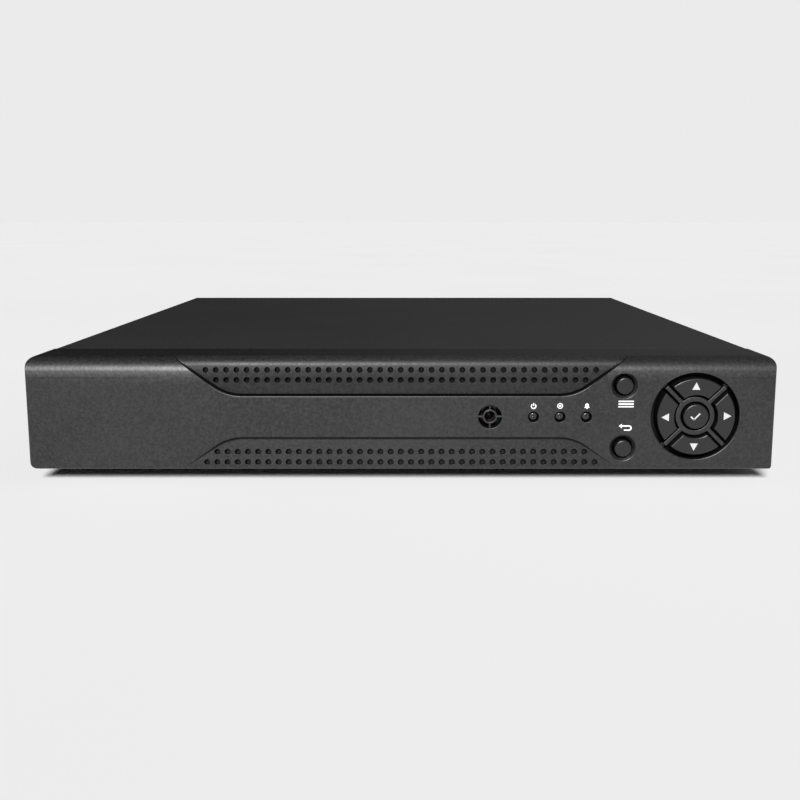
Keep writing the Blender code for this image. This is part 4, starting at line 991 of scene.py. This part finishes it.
def make_cover():
    """The folded cover with smooth bends, stamped side slots and a folded rear lip."""
    half = COVER_HIGH.x
    low_z = COVER_LOW.z
    bend_z = TOP_Z - COVER_BEND
    inner_bend = COVER_BEND - 0.7 * SHEET
    inner = half - SHEET
    inner_top = TOP_Z - SHEET
    right = arc(half - COVER_BEND, bend_z, COVER_BEND, 90, 0, 10) + [(half, low_z), (inner, low_z)]
    right += arc(inner - inner_bend, inner_top - inner_bend, inner_bend, 0, 90, 5)
    outline = right + [(-x, z) for x, z in reversed(right)]
    back = COVER_HIGH.y
    cover = prism("cover_sheet", outline, "Y", COVER_LOW.y, back)
    lip = rectangle(back - SHEET, REAR_LIP_Z, back - 0.02, TOP_Z - 0.4)
    join(cover, prism("lip", lip, "X", -half + 0.4, half - 0.4))
    corner = [(back - COVER_BEND, TOP_Z + PAST)]
    corner += arc(back - COVER_BEND, bend_z, COVER_BEND, 0, 90, 8)[::-1]
    corner += [(back + PAST, bend_z), (back + PAST, TOP_Z + PAST)]
    cut(cover, prism("fold", corner, "X", -half - PAST, half + PAST))
    reach = {side: sorted((side * (half - 3 * SHEET), side * (half + 3 * SHEET))) for side in (-1, 1)}
    for side in (-1, 1):
        bm = bmesh.new()
        for y in spread(SLOT_COUNT, SLOT_PITCH):
            slot = even_rectangle((y - SLOT_HALF, SLOT_Z[0]), (y + SLOT_HALF, SLOT_Z[1]),
                                     SLOT_HALF * 0.98, SLOT_HALF * 0.98, 5)
            add_prism(bm, slot, "X", *reach[side])
        cut(cover, to_object(bm, "slots"))
    for node in SIDE_SCREWS:
        side = 1 if box(node)[0].x > 0 else -1
        cut(cover, prism("hole", circle(*centre_yz(node), SCREW_HOLE, 24), "X", *reach[side]))
    for node in REAR_SCREWS:
        hole = circle(*centre_of(node), SCREW_HOLE, 24)
        cut(cover, prism("hole", hole, "Y", back - 3 * SHEET, back + PAST))
    dress(cover, "painted_steel", "top_cover")


def make_screw(node, axis, inward):
    """A pan-head screw with a cross recess and a threaded shank."""
    ends = [corner[AXES[axis][2]] for corner in box(node)]
    top, tip = ends if inward > 0 else ends[::-1]
    centre = centre_yz(node) if axis == "X" else centre_of(node)
    head = 1.1
    radius = 2.8
    seat = top + inward * head
    profile = [(0.0, top)]
    for across, along in quarter(6)[1:]:
        profile.append((radius * (0.55 + 0.45 * across), top + inward * 0.8 * head * along))
    profile += [(radius, seat), (1.4, seat)]
    thread = 0.5
    for turn in range(10):
        start = seat + inward * thread * (turn + 0.3)
        profile += [(1.15, start), (1.4, start + inward * thread * 0.5)]
    profile += [(1.0, tip), (0.0, tip)]
    screw = turned(node + "_threaded", profile, centre, 32, axis=axis)
    for wide, tall in ((1.5, 0.26), (0.26, 1.5)):
        slot = rectangle(centre[0] - wide, centre[1] - tall, centre[0] + wide, centre[1] + tall)
        cut(screw, prism("slot", slot, axis, *sorted((top - inward, top + inward * 0.7))))
    dress(screw, "screw_steel", node)


def make_foot(node):
    """A moulded rubber foot with a soft edge and a dished sole."""
    low, high = box(node)
    centre = ((low.x + high.x) / 2, (low.y + high.y) / 2)
    radius = (high.x - low.x) / 2
    profile = [(0.0, 1.6), (2.2, 1.6), (2.4, 1.4), (2.4, 0.7), (2.7, 0.5), (4.6, 0.35), (5.0, 0.0)]
    profile += arc(radius - 1.2, 1.0, 1.0, -90, 0, 6)
    profile += [(radius, high.z - 0.6), (radius, high.z), (0.0, high.z)]
    dress(turned("rubber_" + node, profile, centre, 56, axis="Z"), "rubber", node)


# Rear sockets

REAR_WALL_Y = COVER_HIGH.y - SHEET - 0.3
INNER_WALL_Y = REAR_WALL_Y - SHEET - 0.3
BOARD_PART_Z = box("heat_sink")[0].z


def socket_base(name, node):
    """The moulded block of a socket, up to the inside of the rear wall."""
    low, high = box(node)
    base = block(name, low, (high.x, INNER_WALL_Y, high.z))
    round_edges(base, 0.35)
    dress(base, "black_plastic", node)


def make_video_socket(node):
    """A bayonet socket: moulded base, plated barrel with two lugs, insulator and contact."""
    socket_base(node + "_base", node)
    x, z = centre_of(node)[0], BOARD_PART_Z + 7.6
    end = box(node)[1].y
    start = INNER_WALL_Y + 0.1
    neck = REAR_WALL_Y + 1.5
    profile = [(4.1, start), (6.2, start), (6.2, neck - 0.3), (5.9, neck), (5.2, neck), (5.0, neck + 0.3),
               (4.8, neck + 0.5), (4.8, end - 0.35), (4.6, end), (4.3, end), (4.1, end - 0.25)]
    barrel = turned(node + "_barrel", profile, (x, z), 48, ring=True)
    for side in (-1, 1):
        reach = sorted((x + side * 4.4, x + side * 5.75))
        lug = rectangle(0.0, reach[0], 0.85, reach[1])
        join(barrel, turned("lug", lug, (end - 4.0, z), 20, axis="X"))
    dress(barrel, "nickel")
    back = neck + 0.8
    profile = [(0.95, start), (4.0, start), (4.0, back), (2.4, back + 0.1), (2.4, end - 2.7),
               (2.2, end - 2.5), (0.95, end - 2.5)]
    dress(turned(node + "_insulator", profile, (x, z), 36, ring=True), "black_plastic")
    profile = [(0.0, start), (0.85, start), (0.85, end - 2.2), (0.7, end - 2.05), (0.45, end - 2.05),
               (0.4, end - 4.5), (0.0, end - 4.5)]
    dress(turned(node + "_contact", profile, (x, z), 20), "nickel")


def make_audio_socket():
    """Two phono sockets: moulded block, coloured collars and plated sleeves."""
    socket_base("phono_block", "audio_socket")
    middle = centre_of("audio_socket")[0]
    end = box("audio_socket")[1].y
    start = INNER_WALL_Y + 0.1
    wall = REAR_WALL_Y
    for side, name, slot in ((-1, "left", "cable_red"), (1, "right", "cable_grey")):
        centre = (middle + side * 6.25, BOARD_PART_Z + 6.0)
        profile = [(3.4, start), (4.55, start), (4.55, wall + 1.0), (4.3, wall + 1.3), (3.4, wall + 1.3)]
        dress(turned("phono_collar_" + name, profile, centre, 40, ring=True), slot)
        profile = [(1.75, start), (3.3, start), (3.3, wall + 1.2), (4.15, wall + 1.5), (4.15, end - 0.4),
                   (3.9, end), (3.5, end), (3.4, end - 0.5), (3.4, end - 1.6), (1.75, end - 1.6)]
        dress(turned("phono_sleeve_" + name, profile, centre, 40, ring=True), "nickel")


def display_outline(x, z, shrink):
    """The display socket's outline, wider at the top, shrunk by a margin."""
    wide = 8.3 - shrink
    narrow = 7.4 - shrink
    tall = 3.95 - shrink
    radius = 1.9 - shrink * 0.8
    points = []
    for corner_x, corner_z, start in ((narrow, -tall, 270), (wide, tall, 0), (-wide, tall, 90),
                                      (-narrow, -tall, 180)):
        centre_x = x + corner_x - math.copysign(radius, corner_x)
        centre_z = z + corner_z - math.copysign(radius, corner_z)
        points += arc(centre_x, centre_z, radius, start, start + 90, 6)
    return points


def make_analog_socket():
    """The fifteen-way display socket: moulded base, plated shell and an insert with pin holes."""
    node = "analog_display_socket"
    socket_base("display_base", node)
    x, z = centre_of(node)
    back = box(node)[1].y
    start = INNER_WALL_Y + 0.1
    shell = prism("display_shell", display_outline(x, z, 0.0), "Y", start, back)
    cut(shell, prism("hollow", display_outline(x, z, 0.45), "Y", INNER_WALL_Y - PAST, back + PAST))
    dress(shell, "nickel")
    insert = prism("display_insert", display_outline(x, z, 0.55), "Y", start, back - 0.6)
    profile = [(0.0, back), (0.62, back), (0.62, back - 0.7), (0.42, back - 1.0), (0.42, back - 3.6),
               (0.0, back - 3.6)]
    bm = bmesh.new()
    for row in (-1, 0, 1):
        for place in spread(5, 2.3):
            add_turned(bm, profile, (x + place + row * 0.6, z + row * 2.0), 14)
    cut(insert, to_object(bm, "pins"))
    dress(insert, "black_plastic")


def make_standoffs():
    """Two hexagonal standoffs beside the display socket, outside the rear wall."""
    x, z = centre_of("analog_display_socket")
    start = REAR_WALL_Y + 0.3
    floor = start + 1.0
    bore = [(0.0, floor), (1.45, floor), (1.45, start + 3.7), (1.8, start + 5.0), (0.0, start + 5.0)]
    for side, name in ((-1, "left"), (1, "right")):
        centre = (x + side * 12.5, z)
        post = prism("standoff_" + name, circle(*centre, 2.75, 6), "Y", start, start + 4.0)
        cut(post, turned("bore", bore, centre, 24))
        round_edges(post, 0.18, 2)
        dress(post, "nickel")


def mouth(node):
    """Middle in X, foot in Z and rear end in Y of a socket's CAD node."""
    low, high = box(node)
    return (low.x + high.x) / 2, low.z, high.y


def slot_shell(name, node, openings, corner):
    """A folded shield with rounded openings, each with two corners, a depth and a radius."""
    low, high = box(node)
    outline = even_rectangle((low.x, low.z), (high.x, high.z), corner, corner, 4)
    shell = prism(name, outline, "Y", low.y, high.y)
    for open_low, open_high, depth, radius in openings:
        outline = even_rectangle(open_low, open_high, radius, radius, 5)
        cut(shell, prism("opening", outline, "Y", high.y - depth, high.y + PAST))
    round_edges(shell, 0.14, 2)
    dress(shell, "nickel", node)


def contact_row(name, x, z, count, pitch, size, low_y, high_y):
    """A row of flat contacts as one piece of plated metal strips."""
    bm = bmesh.new()
    for place in spread(count, pitch):
        strip = rectangle(x + place - size[0] / 2, z, x + place + size[0] / 2, z + size[1])
        add_prism(bm, strip, "Y", low_y, high_y)
    dress(to_object(bm, name), "nickel")


def make_tongue(name, outline, low_y, high_y, edge):
    """The moulded tongue that carries a row of contacts."""
    tongue = prism(name, outline, "Y", low_y, high_y)
    round_edges(tongue, edge)
    dress(tongue, "black_plastic")


def make_digital_socket():
    """The flat digital display socket with its contact tongue."""
    node = "digital_display_socket"
    x, z, end = mouth(node)
    slot_shell("digital_shield", node, [((x - 6.9, z + 0.75), (x + 6.9, z + 5.25), 8.0, 1.0)], 0.8)
    outline = rectangle(x - 5.9, z + 2.5, x + 5.9, z + 3.7)
    make_tongue("digital_tongue", outline, end - 7.9, end - 0.9, 0.2)
    contact_row("digital_contacts", x, z + 2.36, 10, 1.0, (0.4, 0.12), end - 7.8, end - 1.3)


def make_network_socket():
    """The network socket: a shield with a keyed opening, and eight spring contacts."""
    node = "lan_socket"
    x, z, end = mouth(node)
    plug = ((x - 5.9, z + 3.0), (x + 5.9, z + 10.4), 13.0, 0.3)
    latch = ((x - 3.0, z + 1.0), (x + 3.0, z + 3.2), 8.0, 0.2)
    slot_shell("network_shield", node, [plug, latch], 0.5)
    section = [(end - 12.0, z + 10.3), (end - 2.6, z + 10.3), (end - 2.5, z + 10.0), (end - 9.5, z + 7.4),
               (end - 9.7, z + 7.7), (end - 4.0, z + 10.0), (end - 12.0, z + 10.05)]
    bm = bmesh.new()
    for place in spread(8, 1.02):
        add_prism(bm, section, "X", x + place - 0.2, x + place + 0.2)
    dress(to_object(bm, "network_contacts"), "nickel")


def make_data_sockets():
    """Two stacked data sockets with their tongues and contacts."""
    node = "data_socket_pair"
    x, foot, end = mouth(node)
    levels = {"lower": foot + 1.4, "upper": foot + 8.9}
    openings = [((x - 6.25, z), (x + 6.25, z + 5.1), 11.0, 0.4) for z in levels.values()]
    slot_shell("data_shield", node, openings, 0.6)
    for name, z in levels.items():
        outline = rectangle(x - 5.4, z + 2.5, x + 5.4, z + 4.4)
        make_tongue("data_tongue_" + name, outline, end - 10.9, end - 0.8, 0.25)
        contact_row("data_contacts_" + name, x, z + 2.4, 4, 2.3, (1.0, 0.13), end - 10.0, end - 1.6)


def make_power_inlet():
    """The barrel inlet: a moulded body with a chamfered bore, and its pin."""
    node = "power_inlet"
    low, high = box(node)
    end = high.y
    centre = (centre_of(node)[0], BOARD_PART_Z + 6.2)
    outline = even_rectangle((low.x, low.z), (high.x, high.z), 0.3, 1.6, 5)
    body = prism("inlet_body", outline, "Y", low.y, end)
    floor = end - 9.5
    bore = [(0.0, floor), (3.2, floor), (3.2, end - 0.6), (3.7, end), (3.7, end + PAST), (0.0, end + PAST)]
    cut(body, turned("bore", bore, centre, 40))
    round_edges(body, 0.2, 2)
    dress(body, "black_plastic", node)
    foot = floor + 0.05
    pin = [(0.0, foot), (1.05, foot), (1.05, end - 1.4), (0.7, end - 1.0), (0.0, end - 1.0)]
    dress(turned("inlet_pin", pin, centre, 28), "nickel")


# Stage

FLOOR_HALF = 60000.0
REAR_PIECES = ("video_socket", "phono", "display", "standoff", "digital", "network", "data_", "inlet")


def stage_floor():
    """A plain pale floor."""
    floor = prism("floor", rectangle(-FLOOR_HALF, -FLOOR_HALF, FLOOR_HALF, FLOOR_HALF), "Z", -10.0, 0.0)
    n = Nodes(bpy.data.materials.new("floor"))
    patch = n.noise(3.0, 2.0)
    base = n.mix(n.remap(patch, 0.3, 0.7), grey(0.84), grey(0.86))
    floor.data.materials.append(n.finish(base, 0.9, Specular_IOR_Level=0.0))


def make_camera():
    """The camera in front of the recorder, a little above it."""
    data = bpy.data.cameras.new("camera")
    data.sensor_width = 36.0
    data.lens = 39.16
    data.shift_x = -0.00975
    data.shift_y = -0.0729
    data.clip_start = 0.01
    camera = new_object("camera", data)
    camera.location = (0.0024, -0.4114, 0.0891)
    camera.rotation_euler = (math.radians(90.0 - 7.87), 0.0, 0.0)
    bpy.context.scene.camera = camera


def make_sun(name, energy, softness, direction):
    """A soft sun that shines along a direction."""
    data = bpy.data.lights.new(name, "SUN")
    data.energy = energy
    data.angle = math.radians(softness)
    sun = new_object(name, data)
    sun.rotation_euler = Vector(direction).to_track_quat("-Z", "Y").to_euler()
    return sun


def make_rear_light():
    """A soft light for the sockets and the rear wall alone, which the key light can't reach."""
    rear = bpy.data.collections.new("rear_pieces")
    for item in bpy.context.scene.objects:
        if item.type == "MESH" and (item.name.startswith(REAR_PIECES) or item.name == "bottom_tray"):
            rear.objects.link(item)
    light = make_sun("rear", 1.8, 40.0, (0.35, -0.75, -0.50))
    light.light_linking.receiver_collection = rear


def make_surround():
    """A faint surround, brighter from the right, and a pale backdrop that only the camera sees."""
    n = Nodes(bpy.data.worlds.new("surround"))
    axes = n.add("ShaderNodeSeparateXYZ", Vector=n.place.node.outputs["Generated"])
    glow = n.remap(axes.outputs["X"], -0.25, 0.3, 0.004, 0.12)
    surround = n.tree.nodes["Background"]
    n.put(surround.inputs["Color"], (1.0, 1.0, 1.0))
    n.put(surround.inputs["Strength"], glow)
    backdrop = n.add("ShaderNodeBackground", Color=(1.0, 1.0, 1.0), Strength=0.83)
    path = n.add("ShaderNodeLightPath")
    mixer = n.add("ShaderNodeMixShader", Fac=path.outputs["Is Camera Ray"])
    n.put(mixer.inputs[1], surround.outputs[0])
    n.put(mixer.inputs[2], backdrop.outputs[0])
    n.put(n.tree.nodes["World Output"].inputs["Surface"], mixer.outputs[0])
    bpy.context.scene.world = n.owner
    bpy.context.scene.view_settings.view_transform = "Standard"


make_camera()
make_sun("key", 5.3, 20.0, (0.12, 0.82, -0.55))
make_surround()
stage_floor()
make_panel()
for key_name, key_direction in ARROWS.items():
    make_arrow_key(key_name, key_direction)
make_round_key("ok", OK_RADIUS, RING_INNER - 0.6, 0.12)
make_round_key("menu", SMALL_RADIUS, SMALL_HOLE, 0.1)
make_round_key("esc", SMALL_RADIUS, SMALL_HOLE, 0.1)
for key_name in ("up", "down", "left", "right"):
    triangle_mark(key_name, ARROWS[key_name])
lamp_marks()
key_signs()
for node_name in LAMPS:
    make_lamp(node_name)
make_receiver()
make_cover()
for node_name in SIDE_SCREWS:
    make_screw(node_name, "X", -1 if box(node_name)[0].x > 0 else 1)
for node_name in REAR_SCREWS:
    make_screw(node_name, "Y", -1)
for node_name in ("foot_front_left", "foot_front_right", "foot_rear_left", "foot_rear_right"):
    make_foot(node_name)
for index in range(4):
    make_video_socket("video_socket_" + str(index + 1))
make_audio_socket()
make_analog_socket()
make_standoffs()
make_digital_socket()
make_network_socket()
make_data_sockets()
make_power_inlet()

SLOT_OF = {row["node"]: row["material_slot"] for row in frame["record"]["subparts"]}
for node_name, node in frame["nodes"].items():
    node.data.materials.clear()
    node.data.materials.append(MATERIALS[SLOT_OF[node_name]])
    if node_name not in REPLACED:
        round_edges(node, 0.22, 2)

make_rear_light()
